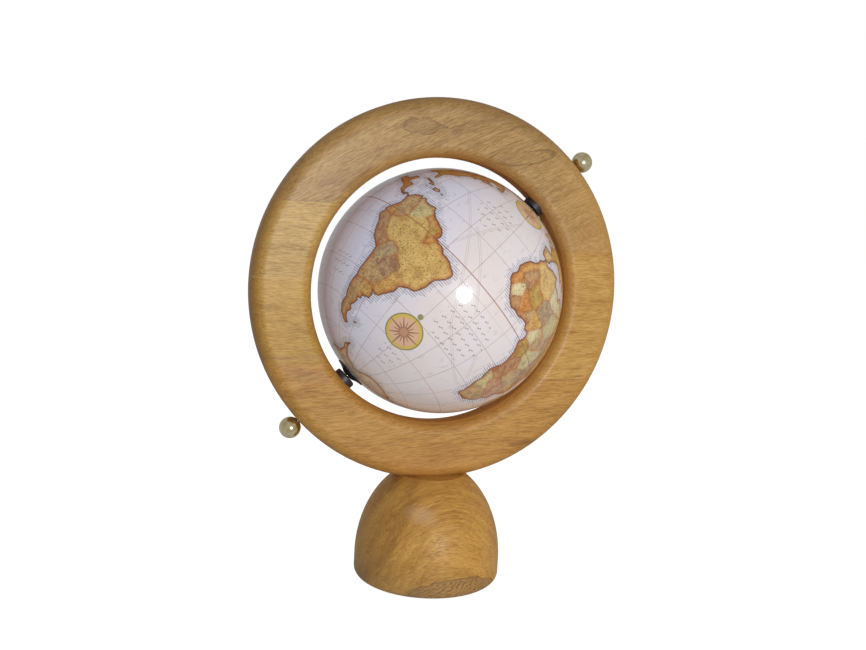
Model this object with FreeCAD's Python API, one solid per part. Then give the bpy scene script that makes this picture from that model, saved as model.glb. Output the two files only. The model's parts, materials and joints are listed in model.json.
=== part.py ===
import FreeCAD, Part
import math
import os
from FreeCAD import Rotation, Vector

# Desktop globe on a stand: a wooden ring, glued up from boards, stands on a turned wooden dome and
# carries a 6 inch globe on a tilted steel rod with a brass ball at each end.
# Millimetres. +Z is up, the ring lies in the XZ plane and faces -Y.
# The origin is the middle of the underside, where the felt pad meets the table.

# Globe
GLOBE_R = 76.2            # outside of the printed map, a 6 inch ball
MAP_THICK = 0.4           # varnished paper
SHELL_THICK = 2.2         # moulded ball
BAND_HALF = 9.0           # joining band inside the equator, half its width
BAND_THICK = 1.6
POLE_HOLE_R = 4.0

# Wooden ring
RING_R = 118.4            # outside radius
RING_HOLE_R = 82.4        # inside radius
RING_HALF = 11.5          # half of the thickness
RING_OUTER_ROUND = 8.0
RING_INNER_ROUND = 7.0
RING_Z = 184.6            # height of the ring's centre
JOINTS_LEFT = (141.0, 191.0, 236.0)     # heights of the glue lines on the -X side
JOINTS_RIGHT = (130.5, 213.0)           # and on the +X side

# Turned base
BASE_R = 46.4
BASE_WAIST_Z = 14.6       # below this height the side is upright
BASE_ELLIPSE = 61.1       # upright half axis of the dome's quarter ellipse
BASE_TOP_Z = 68.8         # flat that the ring is let into
BASE_FOOT_ROUND = 5.0
BASE_TOP_ROUND = 0.8
PAD_R = 38.0
PAD_THICK = 1.5

# Screw and dowels between base and ring
WELL_R = 10.0             # counterbore in the underside
WELL_TOP_Z = 38.0
SCREW_R = 2.4
SCREW_TIP_Z = 90.0
SCREW_HEAD_R = 5.5
SCREW_HEAD_H = 3.6
WASHER_R = 8.5
WASHER_THICK = 1.2
DOWEL_R = 3.0
DOWEL_X = 13.0
DOWEL_Z = (58.0, 79.0)

# Axle, its bushes and the pole plugs
AXIS_ABOVE_HORIZONTAL = 43.1     # degrees, north pole towards +X
ROD_R = 2.0
RUNNING_FIT = 0.05        # radial clearance round the rod
ROD_BORE_R = 2.4          # free hole through the ring's outer half
BUSH_SLEEVE_R = 3.5
BUSH_SLEEVE_DEPTH = 14.0
BUSH_FLANGE_R = 6.9
BUSH_FLANGE_THICK = 3.8
BUSH_ROUND = 1.3
PLUG_DISC_R = 10.4
PLUG_CROWN = 2.0          # height of the plug over the pole
PLUG_RIM = 0.5            # thickness left at its edge
PLUG_STEM_LENGTH = 12.0
FINIAL_R = 6.6
FINIAL_CENTRE = 124.9     # distance from the globe's centre
FINIAL_GAP = 0.3          # between the ring's rim and the ball's flat
FINIAL_HOLE_END = 127.5   # how far out the rod reaches inside the ball

TOP = Vector(0, 0, 1)
AXIS_PLACE = FreeCAD.Placement(Vector(0, 0, RING_Z), Rotation(Vector(0, 1, 0), 90.0 - AXIS_ABOVE_HORIZONTAL))
SOUTH_TURN = FreeCAD.Placement(Vector(0, 0, 0), Rotation(Vector(0, 1, 0), 180.0))


def line(a, b):
    return Part.LineSegment(a, b).toShape()


def arc(a, middle, b):
    return Part.Arc(a, middle, b).toShape()


def point(r, z):
    """A point of a profile that is turned about Z."""
    return Vector(r, 0, z)


def corner_arc(centre_r, centre_z, radius, start, end):
    """Arc of a profile from one angle to another, in degrees from the +r direction."""
    def at(angle):
        a = math.radians(angle)
        return point(centre_r + radius * math.cos(a), centre_z + radius * math.sin(a))
    return arc(at(start), at((start + end) / 2.0), at(end))


def outline(corners):
    """Closed wire of straight edges."""
    return [line(corners[i - 1], corners[i]) for i in range(len(corners))]


def turned(edges):
    """Solid turned about Z from the edges of a closed profile on its +X side."""
    wire = Part.Wire(Part.__sortEdges__(edges))
    return Part.Face(wire).revolve(Vector(0, 0, 0), TOP, 360.0)


def rod_along_z(radius, low, high):
    return Part.makeCylinder(radius, high - low, Vector(0, 0, low))


def on_axis(shape, south=False):
    """Moves a shape made about Z, with the globe's centre at the origin, on to the tilted axis."""
    moved = shape.copy()
    if south:
        moved.Placement = SOUTH_TURN
    moved.Placement = AXIS_PLACE.multiply(moved.Placement)
    return moved


def whole_ring():
    """The rounded ring as one solid, before it is divided into its boards."""
    flat_in = RING_HOLE_R + RING_INNER_ROUND
    flat_out = RING_R - RING_OUTER_ROUND
    z_in = RING_HALF - RING_INNER_ROUND
    z_out = RING_HALF - RING_OUTER_ROUND
    edges = [
        corner_arc(flat_out, z_out, RING_OUTER_ROUND, 0, 90),
        line(point(flat_out, RING_HALF), point(flat_in, RING_HALF)),
        corner_arc(flat_in, z_in, RING_INNER_ROUND, 90, 180),
        line(point(RING_HOLE_R, z_in), point(RING_HOLE_R, -z_in)),
        corner_arc(flat_in, -z_in, RING_INNER_ROUND, 180, 270),
        line(point(flat_in, -RING_HALF), point(flat_out, -RING_HALF)),
        corner_arc(flat_out, -z_out, RING_OUTER_ROUND, 270, 360),
        line(point(RING_R, -z_out), point(RING_R, z_out)),
    ]
    ring = turned(edges)
    ring.Placement = FreeCAD.Placement(Vector(0, 0, RING_Z), Rotation(Vector(1, 0, 0), 90.0))
    return ring


def slab(side, low, high):
    """Box that covers one side of the ring, -1 left or +1 right, between two heights."""
    reach = RING_R + 10.0
    x = -reach if side < 0 else 0.0
    return Part.makeBox(reach, 2.0 * reach, high - low, Vector(x, -reach, low))


def ring_cutters():
    """Everything that is bored out of the boards: the rod's hole, screw hole and dowel holes."""
    bush_end = RING_HOLE_R + BUSH_SLEEVE_DEPTH
    holes = []
    for south in (False, True):
        holes.append(on_axis(rod_along_z(ROD_BORE_R, RING_HOLE_R - 5.0, RING_R + 5.0), south))
        holes.append(on_axis(rod_along_z(BUSH_SLEEVE_R, RING_HOLE_R - 5.0, bush_end), south))
    holes.append(rod_along_z(SCREW_R, 50.0, SCREW_TIP_Z))
    holes.extend(dowels())
    return holes


def ring_boards(ring):
    """The boards of the ring, cut level at their glue lines."""
    top_z = RING_Z + RING_R + 10.0
    low_z = RING_Z - RING_R - 10.0
    left = JOINTS_LEFT
    right = JOINTS_RIGHT
    top = ring.cut(slab(-1, low_z, left[2])).cut(slab(1, low_z, right[1]))
    bottom = ring.cut(slab(-1, left[0], top_z)).cut(slab(1, right[0], top_z))
    boards = {
        "ring_top_arc": top,
        "ring_left_upper_block": ring.common(slab(-1, left[1], left[2])),
        "ring_left_lower_block": ring.common(slab(-1, left[0], left[1])),
        "ring_right_block": ring.common(slab(1, right[0], right[1])),
        "ring_bottom_arc": bottom,
    }
    cutters = ring_cutters()
    for name in ("ring_top_arc", "ring_bottom_arc"):
        boards[name] = boards[name].cut(cutters)
    return boards


def base_dome(ring):
    """Turned base with a flat top, a shallow cradle for the ring and a counterbored screw hole."""
    top_angle = math.acos((BASE_TOP_Z - BASE_WAIST_Z) / BASE_ELLIPSE)
    centre = point(0, BASE_WAIST_Z)
    ellipse = Part.Ellipse(point(0, BASE_WAIST_Z + BASE_ELLIPSE), point(BASE_R, BASE_WAIST_Z), centre)
    side = Part.ArcOfEllipse(ellipse, top_angle, math.pi / 2.0).toShape()
    ends = sorted((v.Point for v in side.Vertexes), key=lambda p: p.z)
    foot_r = BASE_R - BASE_FOOT_ROUND
    edges = [
        line(point(0, BASE_TOP_Z), point(0, PAD_THICK)),
        line(point(0, PAD_THICK), point(foot_r, PAD_THICK)),
        corner_arc(foot_r, PAD_THICK + BASE_FOOT_ROUND, BASE_FOOT_ROUND, 270, 360),
        line(point(BASE_R, PAD_THICK + BASE_FOOT_ROUND), ends[0]),
        side,
        line(ends[1], point(0, BASE_TOP_Z)),
    ]
    dome = turned(edges)
    rim = [e for e in dome.Edges if abs(e.BoundBox.ZMin - BASE_TOP_Z) < 0.01 and e.BoundBox.ZLength < 0.01]
    dome = dome.makeFillet(BASE_TOP_ROUND, rim)
    well = rod_along_z(WELL_R, 0.0, WELL_TOP_Z)
    screw_hole = rod_along_z(SCREW_R, WELL_TOP_Z - 1.0, BASE_TOP_Z + 1.0)
    return dome.cut([ring, well, screw_hole] + dowels())


def base_pad():
    """Felt disc under the base, which also closes the screw's well."""
    return rod_along_z(PAD_R, 0.0, PAD_THICK)


def base_screw():
    """Pan head wood screw with a pointed tip and a cross recess."""
    seat = WELL_TOP_Z - WASHER_THICK
    low = seat - SCREW_HEAD_H
    tip_start = SCREW_TIP_Z - 2.0 * SCREW_R
    profile = outline([
        point(0, low), point(SCREW_HEAD_R - 1.2, low), point(SCREW_HEAD_R, low + 1.4),
        point(SCREW_HEAD_R, seat), point(SCREW_R, seat), point(SCREW_R, tip_start),
        point(0, SCREW_TIP_Z)])
    recess = [Part.makeBox(a, b, 2.2, Vector(-a / 2.0, -b / 2.0, low)) for a, b in ((5.0, 1.1), (1.1, 5.0))]
    return turned(profile).cut(recess)


def base_screw_washer():
    ring = rod_along_z(WASHER_R, WELL_TOP_Z - WASHER_THICK, WELL_TOP_Z)
    return ring.cut(rod_along_z(SCREW_R, 0.0, WELL_TOP_Z + 1.0))


def dowels():
    """Two wooden pins that stop the ring from twisting on the base."""
    low, high = DOWEL_Z
    pins = []
    for side in (-1, 1):
        pin = rod_along_z(DOWEL_R, low, high)
        pin.translate(Vector(side * DOWEL_X, 0, 0))
        pins.append(pin)
    return pins


def ring_bush(ring):
    """Flanged plastic bush: its sleeve is pressed into the ring, its flange shows beside the globe."""
    flange_low = RING_HOLE_R - BUSH_FLANGE_THICK
    middle_r = BUSH_FLANGE_R - BUSH_ROUND
    edges = [
        line(point(ROD_R, flange_low), point(middle_r, flange_low)),
        corner_arc(middle_r, flange_low + BUSH_ROUND, BUSH_ROUND, 270, 360),
        line(point(BUSH_FLANGE_R, flange_low + BUSH_ROUND), point(BUSH_FLANGE_R, RING_HOLE_R + 0.6)),
        line(point(BUSH_FLANGE_R, RING_HOLE_R + 0.6), point(ROD_R, RING_HOLE_R + 0.6)),
        line(point(ROD_R, RING_HOLE_R + 0.6), point(ROD_R, flange_low)),
    ]
    ring_here = ring.copy()
    ring_here.Placement = AXIS_PLACE.inverse().multiply(ring.Placement)
    flange = turned(edges).cut(ring_here)
    sleeve = rod_along_z(BUSH_SLEEVE_R, flange_low + 1.0, RING_HOLE_R + BUSH_SLEEVE_DEPTH)
    bore = rod_along_z(ROD_R + RUNNING_FIT, flange_low - 5.0, RING_R)
    return flange.fuse(sleeve).removeSplitter().cut(bore)


def pole_plug():
    """Black plug of the globe's pole: a dished disc outside, a hollow stem inside."""
    edge_z = math.sqrt(GLOBE_R ** 2 - PLUG_DISC_R ** 2)
    hole_z = math.sqrt(GLOBE_R ** 2 - ROD_R ** 2)
    mid_r = (PLUG_DISC_R + ROD_R) / 2.0
    crown_z = GLOBE_R + PLUG_CROWN
    neck_r = BUSH_SLEEVE_R
    slope_mid = point(6.4, edge_z + PLUG_RIM + 0.9)
    edges = [
        arc(point(ROD_R, hole_z), point(mid_r, math.sqrt(GLOBE_R ** 2 - mid_r ** 2)), point(PLUG_DISC_R, edge_z)),
        line(point(PLUG_DISC_R, edge_z), point(PLUG_DISC_R, edge_z + PLUG_RIM)),
        arc(point(PLUG_DISC_R, edge_z + PLUG_RIM), slope_mid, point(neck_r, crown_z)),
        line(point(neck_r, crown_z), point(ROD_R, crown_z)),
        line(point(ROD_R, crown_z), point(ROD_R, hole_z)),
    ]
    stem = rod_along_z(POLE_HOLE_R, GLOBE_R - PLUG_STEM_LENGTH, GLOBE_R + 0.5)
    bore = rod_along_z(ROD_R + RUNNING_FIT, 0.0, RING_R)
    return turned(edges).fuse(stem).removeSplitter().cut(bore)


def hemisphere(outer, inner):
    """Half of a hollow ball above the equator, with a hole at the pole."""
    top_out = math.sqrt(outer ** 2 - POLE_HOLE_R ** 2)
    top_in = math.sqrt(inner ** 2 - POLE_HOLE_R ** 2)
    side = math.sqrt(0.5)
    edges = [
        line(point(inner, 0), point(outer, 0)),
        arc(point(outer, 0), point(outer * side, outer * side), point(POLE_HOLE_R, top_out)),
        line(point(POLE_HOLE_R, top_out), point(POLE_HOLE_R, top_in)),
        arc(point(POLE_HOLE_R, top_in), point(inner * side, inner * side), point(inner, 0)),
    ]
    return turned(edges)


def joining_band():
    """Band glued inside the equator, over the seam of the two halves."""
    outer = GLOBE_R - MAP_THICK - SHELL_THICK
    end_r = math.sqrt(outer ** 2 - BAND_HALF ** 2)
    inner = end_r - BAND_THICK
    edges = [
        arc(point(end_r, -BAND_HALF), point(outer, 0), point(end_r, BAND_HALF)),
        line(point(end_r, BAND_HALF), point(inner, BAND_HALF)),
        line(point(inner, BAND_HALF), point(inner, -BAND_HALF)),
        line(point(inner, -BAND_HALF), point(end_r, -BAND_HALF)),
    ]
    return turned(edges)


def axle_rod():
    return rod_along_z(ROD_R, -FINIAL_HOLE_END, FINIAL_HOLE_END)


def finial():
    """Brass ball with a small flat towards the ring and a blind hole for the rod."""
    ball = Part.makeSphere(FINIAL_R, Vector(0, 0, FINIAL_CENTRE))
    keep = rod_along_z(2.0 * FINIAL_R, RING_R + FINIAL_GAP, FINIAL_CENTRE + 2.0 * FINIAL_R)
    return ball.common(keep).cut(rod_along_z(ROD_R, 0.0, FINIAL_HOLE_END))


def globe_pieces():
    """Shells, map halves and pole plugs, each with its node name."""
    map_in = GLOBE_R - MAP_THICK
    shell_in = map_in - SHELL_THICK
    pieces = {"globe_joining_band": on_axis(joining_band())}
    for name, south in (("north", False), ("south", True)):
        pieces["globe_shell_" + name] = on_axis(hemisphere(map_in, shell_in), south)
        pieces["globe_map_" + name] = on_axis(hemisphere(GLOBE_R, map_in), south)
        pieces["pole_plug_" + name] = on_axis(pole_plug(), south)
    return pieces


def all_pieces():
    ring = whole_ring()
    pieces = ring_boards(ring)
    pieces["base_dome"] = base_dome(ring)
    pieces["base_pad"] = base_pad()
    pieces["base_screw"] = base_screw()
    pieces["base_screw_washer"] = base_screw_washer()
    pieces["base_dowels"] = Part.makeCompound(dowels())
    pieces["axle_rod"] = on_axis(axle_rod())
    for name, south in (("upper", False), ("lower", True)):
        pieces["ring_bush_" + name] = on_axis(ring_bush(ring), south)
        pieces["finial_" + name] = on_axis(finial(), south)
    pieces.update(globe_pieces())
    return pieces


def main():
    os.makedirs("parts", exist_ok=True)
    for name, shape in sorted(all_pieces().items()):
        box = shape.BoundBox
        shape.exportStep("parts/" + name + ".step")
        print("%-24s solids %d valid %s volume %10.1f mm3  z %7.2f to %7.2f" % (
            name, len(shape.Solids), shape.isValid(), shape.Volume, box.ZMin, box.ZMax))


main()
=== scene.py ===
# %% [markdown]
# # A wooden desk globe, finished over its CAD frame
#
# The object is a six inch globe inside an upright ring of mango wood. The ring stands on a turned
# wooden dome, and a tilted steel rod with a brass ball at each end carries the globe. The CAD frame
# already holds every solid at its real size and place. This lesson gives each of them its finish,
# and makes the few shapes that CAD leaves plain. We start by loading the frame.

# %% Load the frame
import json
import math
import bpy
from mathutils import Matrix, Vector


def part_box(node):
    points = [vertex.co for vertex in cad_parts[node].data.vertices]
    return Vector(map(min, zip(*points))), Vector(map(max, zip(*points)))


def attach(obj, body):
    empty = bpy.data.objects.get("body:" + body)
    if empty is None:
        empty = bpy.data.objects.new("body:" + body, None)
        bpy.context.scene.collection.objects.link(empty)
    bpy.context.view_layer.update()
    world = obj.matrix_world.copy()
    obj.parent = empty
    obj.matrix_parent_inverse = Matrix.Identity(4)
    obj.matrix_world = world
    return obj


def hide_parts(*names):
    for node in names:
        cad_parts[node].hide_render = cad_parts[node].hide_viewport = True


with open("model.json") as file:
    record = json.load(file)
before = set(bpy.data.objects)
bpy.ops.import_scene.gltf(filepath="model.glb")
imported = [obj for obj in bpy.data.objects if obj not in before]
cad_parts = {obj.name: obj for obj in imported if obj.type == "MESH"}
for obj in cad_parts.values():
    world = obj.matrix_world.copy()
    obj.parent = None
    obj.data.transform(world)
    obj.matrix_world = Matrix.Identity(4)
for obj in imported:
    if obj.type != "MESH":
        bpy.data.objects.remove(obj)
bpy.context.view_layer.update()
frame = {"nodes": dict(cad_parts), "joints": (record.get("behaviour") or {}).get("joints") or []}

from types import SimpleNamespace

import bmesh
import bpy
import numpy as np
from mathutils import Matrix, Vector

MM = 0.001
nodes = frame["nodes"]

# %% [markdown]
# Every place in this script comes from the frame. The hinge that the globe spins on gives the
# globe's centre and the direction of its rod, and the boxes of the CAD nodes give the radii.

# %% Measure the frame
spin = next(joint for joint in frame["joints"] if joint["name"] == "globe_spin")
GLOBE_CENTRE = Vector(spin["pos_m"])
ROD_DIRECTION = Vector(spin["axis"]).normalized()
paper_low, paper_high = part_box("globe_map_north")
south_low, south_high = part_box("globe_map_south")
GLOBE_R = (max(paper_high.y, south_high.y) - min(paper_low.y, south_low.y)) / 2
pad_low, pad_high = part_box("base_pad")
PAD_R = pad_high.x
RING_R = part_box("ring_top_arc")[1].z - GLOBE_CENTRE.z
print("globe radius", round(GLOBE_R / MM, 2), "ring radius", round(RING_R / MM, 2), "mm")

# %% [markdown]
# ## Camera
# A camera that looks nearly level, a little from the left, shows the ring's face and the inside of
# its right half. The lens is worked out from the picture's angle, and a turn about the camera's own
# Z axis rolls the picture. Depth of field stays off, so that every part is sharp.

# %% Camera
CAMERA_TURN = math.radians(18.06)      # to the left of the ring's face
CAMERA_RISE = math.radians(6.89)
CAMERA_ROLL = math.radians(3.05)
CAMERA_DISTANCE = 0.6112
CAMERA_LENS = 40.44                    # for a 36 mm sensor
CAMERA_SHIFT = -0.00616
CAMERA_TARGET = Vector((0, 0, 0.1632))


def toward(turn_left, rise):
    """Unit vector from the object to somebody who stands that far to the left and that high."""
    flat = math.cos(rise)
    return Vector((-math.sin(turn_left) * flat, -math.cos(turn_left) * flat, math.sin(rise)))


def look_from(thing, place, target, roll=0.0):
    """Puts a camera or a light somewhere and points it at the target."""
    turn = (target - place).to_track_quat("-Z", "Y").to_matrix() @ Matrix.Rotation(roll, 3, "Z")
    thing.matrix_world = Matrix.Translation(place) @ turn.to_4x4()


camera = bpy.data.objects.new("camera", bpy.data.cameras.new("camera"))
bpy.context.scene.collection.objects.link(camera)
camera.data.sensor_width = 36
camera.data.lens = CAMERA_LENS
camera.data.shift_x = CAMERA_SHIFT
camera_place = CAMERA_TARGET + toward(CAMERA_TURN, CAMERA_RISE) * CAMERA_DISTANCE
look_from(camera, camera_place, CAMERA_TARGET, CAMERA_ROLL)
bpy.context.scene.camera = camera
print("camera at", tuple(round(v, 3) for v in camera.matrix_world.translation))

# %% [markdown]
# ## Materials as expressions
# Procedural finishes are sums of noises and masks. Drawn as nodes they are hard to read, so a small
# class wraps one socket and overloads the operators: writing `1 - mask` adds the Math node. A second
# class holds one material and has the single method that adds any other node.

# %% A socket with arithmetic


class Field:
    """One number that changes over a surface. Arithmetic on it adds Math nodes."""

    def __init__(self, socket):
        self.socket = socket

    def math(self, operation, *values, clamp=False):
        node = self.socket.id_data.nodes.new("ShaderNodeMath")
        node.operation = operation
        node.use_clamp = clamp
        for socket, value in zip(node.inputs, values):
            feed(socket, value)
        return Field(node.outputs[0])

    def __add__(self, other):
        return self.math("ADD", self, other)

    __radd__ = __add__

    def __sub__(self, other):
        return self.math("SUBTRACT", self, other)

    def __rsub__(self, other):
        return self.math("SUBTRACT", other, self)

    def __mul__(self, other):
        return self.math("MULTIPLY", self, other)

    __rmul__ = __mul__

    def __truediv__(self, other):
        return self.math("DIVIDE", self, other)

    def abs(self):
        return self.math("ABSOLUTE", self)

    def root(self):
        return self.math("SQRT", self)

    def most(self, other):
        return self.math("MAXIMUM", self, other)

    def under(self, edge, soft):
        """1 where the field is below the edge, 0 above it, with a ramp of the given width."""
        return self.math("MULTIPLY_ADD", self, -1 / soft, edge / soft + 0.5, clamp=True)

    def over(self, edge, soft):
        """1 where the field is above the edge, 0 below it."""
        return self.math("MULTIPLY_ADD", self, 1 / soft, 0.5 - edge / soft, clamp=True)

    def near(self, step):
        """Distance to the closest multiple of a step."""
        return self.math("PINGPONG", self, step / 2)


def feed(socket, value):
    """Links a field to a socket, or sets the socket to a plain value."""
    if isinstance(value, Field):
        socket.id_data.links.new(value.socket, socket)
    else:
        socket.default_value = value


print("operators ready")

# %% [markdown]
# Colours are written as they look on a screen, from 0 to 255, and turned to the linear values that
# the shader wants. `Finish` builds one material round a Principled shader. Constants such as the
# coat's roughness go straight to the shader's own sockets.

# %% A material under construction


def colour(red, green, blue):
    """Linear colour of a screen colour."""
    def linear(level):
        share = level / 255
        return share / 12.92 if share <= 0.04045 else ((share + 0.055) / 1.055) ** 2.4
    return (linear(red), linear(green), linear(blue), 1.0)


MIX_COLOUR = {"data_type": "RGBA"}
MIX_FACTOR, MIX_A, MIX_B, MIX_RESULT = 0, 6, 7, 2


class Finish:
    """One material while it is being made."""

    def __init__(self, name, **constants):
        self.material = bpy.data.materials.new(name)
        self.material.use_nodes = True
        self.tree = self.material.node_tree
        self.tree.nodes.clear()
        self.shader = self.tree.nodes.new("ShaderNodeBsdfPrincipled")
        end = self.tree.nodes.new("ShaderNodeOutputMaterial")
        self.tree.links.new(self.shader.outputs[0], end.inputs["Surface"])
        for socket, value in constants.items():
            self.shader.inputs[socket.replace("_", " ")].default_value = value

    def node(self, kind, settings, sockets, output=0):
        """Adds any node: its settings first, then the values or links of its sockets."""
        node = self.tree.nodes.new(kind)
        for name, value in settings.items():
            if name == "stops":
                ramp(node.color_ramp, value)
            else:
                setattr(node, name, value)
        for name, value in sockets.items():
            feed(node.inputs[name], value)
        return Field(node.outputs[output])

    def place(self):
        """Object coordinates in millimetres."""
        spot = self.node("ShaderNodeTexCoord", {}, {}, "Object")
        return self.vector("SCALE", spot, Scale=1 / MM)

    def vector(self, operation, a, b=None, output=0, **sockets):
        values = {0: a} if b is None else {0: a, 1: b}
        values.update(sockets)
        return self.node("ShaderNodeVectorMath", {"operation": operation}, values, output)

    def dot(self, a, b):
        return self.vector("DOT_PRODUCT", a, b, output="Value")

    def parts(self, vector):
        split = self.node("ShaderNodeSeparateXYZ", {}, {0: vector})
        return [Field(socket) for socket in split.socket.node.outputs]

    def joined(self, x, y, z):
        return self.node("ShaderNodeCombineXYZ", {}, {0: x, 1: y, 2: z})

    def noise(self, vector, size, detail=2.0, roughness=0.5):
        """Noise whose cells are size millimetres along x, y and z."""
        cells = self.vector("DIVIDE", vector, size)
        return self.node("ShaderNodeTexNoise", {}, {
            "Vector": cells, "Scale": 1.0, "Detail": detail, "Roughness": roughness})

    def mix(self, factor, a, b, blend="MIX"):
        return self.node("ShaderNodeMix", {**MIX_COLOUR, "blend_type": blend},
                         {MIX_FACTOR: factor, MIX_A: a, MIX_B: b}, MIX_RESULT)

    def layers(self, body, *layers):
        """Lays tints over a colour, one after the other. A layer is (mask, strength, screen colour)."""
        for mask, strength, tint in layers:
            body = self.mix(mask * strength, body, colour(*tint))
        return body

    def bump(self, height, millimetres, strength=1.0):
        normal = self.node("ShaderNodeBump", {}, {
            "Height": height, "Distance": millimetres * MM, "Strength": strength})
        self.set(Normal=normal)

    def set(self, **sockets):
        for name, value in sockets.items():
            feed(self.shader.inputs[name.replace("_", " ")], value)
        return self.material


def ramp(band, stops):
    """Puts the stops, as (place, colour) pairs, on a colour ramp."""
    while len(band.elements) < len(stops):
        band.elements.new(0.5)
    for element, (spot, tint) in zip(band.elements, stops):
        element.position = spot
        element.color = tint


def paint(material, *names):
    """Gives CAD nodes a material through their material slot."""
    for name in names:
        slots = nodes[name].data.materials
        slots.clear()
        slots.append(material)


print("finish class ready")

# %% [markdown]
# ## Wood
# Mango wood is a mid brown timber with figure at several scales: broad clouds of colour, streaks and
# fine fibres that follow the grain, and short dark pores. A texture on Object coordinates cuts the
# board like a saw does, so the rounded edges show end grain where they should. Each noise is stretched
# along the grain, and the growth rings are distances from a pith line that lies outside the board.

# %% The wood function
GRAIN_CLOUD = (34.0, 17.0, 13.0)       # millimetres along, through and across the grain
GRAIN_STREAK = (17.0, 2.2, 1.3)
GRAIN_FIBRE = (7.5, 0.7, 0.58)
GRAIN_PORE = (4.2, 0.6, 0.5)
WAX = 0.07


def wood(name, tones, grain=0.0, shift=(0, 0, 0), pith=(14.0, -60.0), ring_width=6.0, ring_share=0.2,
         clouds=0.4, sway=12.0, contrast=1.0, bow=None, dry=None, details=None):
    """A waxed board. Tones are its dark, middle and light colours, grain its slope in degrees. Bow is
    the middle and the flatness of arched grain, and dry masks a surface that the wax doesn't reach."""
    finish = Finish(name, Specular_IOR_Level=0.28, Coat_Roughness=0.26)
    here = finish.place()
    board = finish.node("ShaderNodeMapping", {}, {
        "Vector": here, "Location": shift, "Rotation": (0, math.radians(grain), 0)})
    x, y, z = finish.parts(board)
    if bow:
        middle, flatness = bow
        aside = finish.parts(here)[0] - middle
        z = z + aside * aside / flatness
    wave = finish.noise(board, (70.0, 40.0, 34.0), detail=1.0) - 0.5
    flowing = finish.joined(x, y, z + wave * sway)
    cloud = finish.noise(flowing, GRAIN_CLOUD) - 0.5
    streak = finish.noise(flowing, GRAIN_STREAK, detail=3.0) - 0.5
    fibre = finish.noise(flowing, GRAIN_FIBRE) - 0.5
    pore = finish.noise(flowing, GRAIN_PORE, detail=1.0)
    reach_y = y - pith[0]
    reach_z = z + wave * 16 - pith[1]
    reach = (reach_y * reach_y + reach_z * reach_z).root() + cloud * 9
    growth = finish.noise(finish.joined(reach, 0.0, 0.0), (ring_width,) * 3, detail=3.0) - 0.5
    tone = 0.5 + growth * ring_share * 2 + cloud * clouds + (streak * 0.62 + fibre * 0.85) * contrast
    body = finish.node("ShaderNodeValToRGB", {"stops": list(zip((0.2, 0.5, 0.8), tones))}, {0: tone})
    holes = pore.over(0.58, 0.10)
    body = finish.mix(holes * contrast * 0.5, body, tones[0])
    if details:
        body = details(body, finish=finish, here=here, streak=streak, cloud=cloud, fibre=fibre)
    finish.bump(fibre * 0.25 - holes * 0.8, 0.10, 0.5)
    matt = dry(finish, here) if dry else holes
    finish.set(Coat_Weight=WAX - matt * WAX)
    return finish.set(Base_Color=body, Roughness=0.48 + streak * 0.16 + matt * 0.3)


FAR = 9.0                              # added to a spot, it puts every point outside


def spot(finish, here, centre, half, turn=0.0):
    """0 at the middle of an ellipse seen from the front, 1 on its rim and more outside."""
    x, _, z = finish.parts(here)
    cosine = math.cos(math.radians(turn))
    sine = math.sin(math.radians(turn))
    across = x - centre[0]
    up = z - centre[1]
    along = (across * cosine + up * sine) / half[0]
    aside = (up * cosine - across * sine) / half[1]
    return (along * along + aside * aside).root()


print("wood function ready")

# %% [markdown]
# The ring is glued up from five boards, and each came from another plank, so each has its own tones
# and slope of grain. Three things are common to them: the rounded rims carry painted shade, the outer
# rim darker and most on the left boards, the inner rim darker and warmer with painted bounce light;
# the wall of the opening is painted paler, as painted light where the globe shades it, and is dry;
# and a thin line marks each glue joint.

# %% Rims and glue lines
RING_Z = GLOBE_CENTRE.z / MM
OUTER_RIM_R = RING_R / MM - 4.9        # where the face starts to round over
INNER_RIM_R = 86.0
HOLE_WALL_R = 83.0
# Painted shade: the outer rim is darker where its rounding turns away from the light.
OUTER_RIM_SHADE = (138, 94, 40)
# Painted shade and warm painted bounce light: the inner rim is darker and more orange than the face.
INNER_RIM_SHADE = (172, 116, 54)
# Painted light: the wall of the opening is made paler where the globe shades it.
HOLE_WALL_LIGHT = (228, 156, 72)
GLUE_LIGHT = (206, 172, 112)
GLUE_DARK = (132, 96, 56)


def ring_radius(finish, here):
    """Distance from the middle of the ring, in millimetres."""
    x, _, z = finish.parts(here)
    up = z - RING_Z
    return (x * x + up * up).root()


def hole_wall(finish, here):
    """The wall of the ring's opening."""
    return ring_radius(finish, here).under(HOLE_WALL_R, 0.8)


def ring_details(joints=(), extra=None, rim=0.3):
    """Details that boards of the ring share. Joints are (height, colour, strength), and rim is how strong
    the painted shade on the outer rim is.
    """
    def add(body, finish, here, streak, **others):
        z = finish.parts(here)[2]
        radius = ring_radius(finish, here)
        lines = [((z - height + streak * 1.2).abs().under(0.45, 0.5), strength, tint)
                 for height, tint, strength in joints]
        # Painted shade on the outer rim, painted shade and bounce light on the inner rim, painted light on
        # the opening's wall.
        body = finish.layers(body,
                             (radius.over(OUTER_RIM_R, 6.0), rim, OUTER_RIM_SHADE),
                             (radius.under(INNER_RIM_R, 5.0), 0.4, INNER_RIM_SHADE),
                             (hole_wall(finish, here), 0.6, HOLE_WALL_LIGHT), *lines)
        if extra:
            body = extra(body, finish=finish, here=here, streak=streak, **others)
        return body
    return add


top_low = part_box("ring_left_upper_block")[1].z / MM
left_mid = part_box("ring_left_lower_block")[1].z / MM
left_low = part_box("ring_left_lower_block")[0].z / MM
right_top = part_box("ring_right_block")[1].z / MM
right_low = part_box("ring_right_block")[0].z / MM
print("glue lines at", [round(v, 1) for v in (left_low, left_mid, top_low, right_low, right_top)], "mm")

# %% [markdown]
# The top board is the greyest. Its face has a brown patch with a dark outline on the left half, a long
# leaf-shaped figure on the right half with faint growth lines round it, and a knot just above the
# right joint. Each is an ellipse whose edge a noise makes uneven, and `behind` keeps it off the back.

# %% Top board


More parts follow.
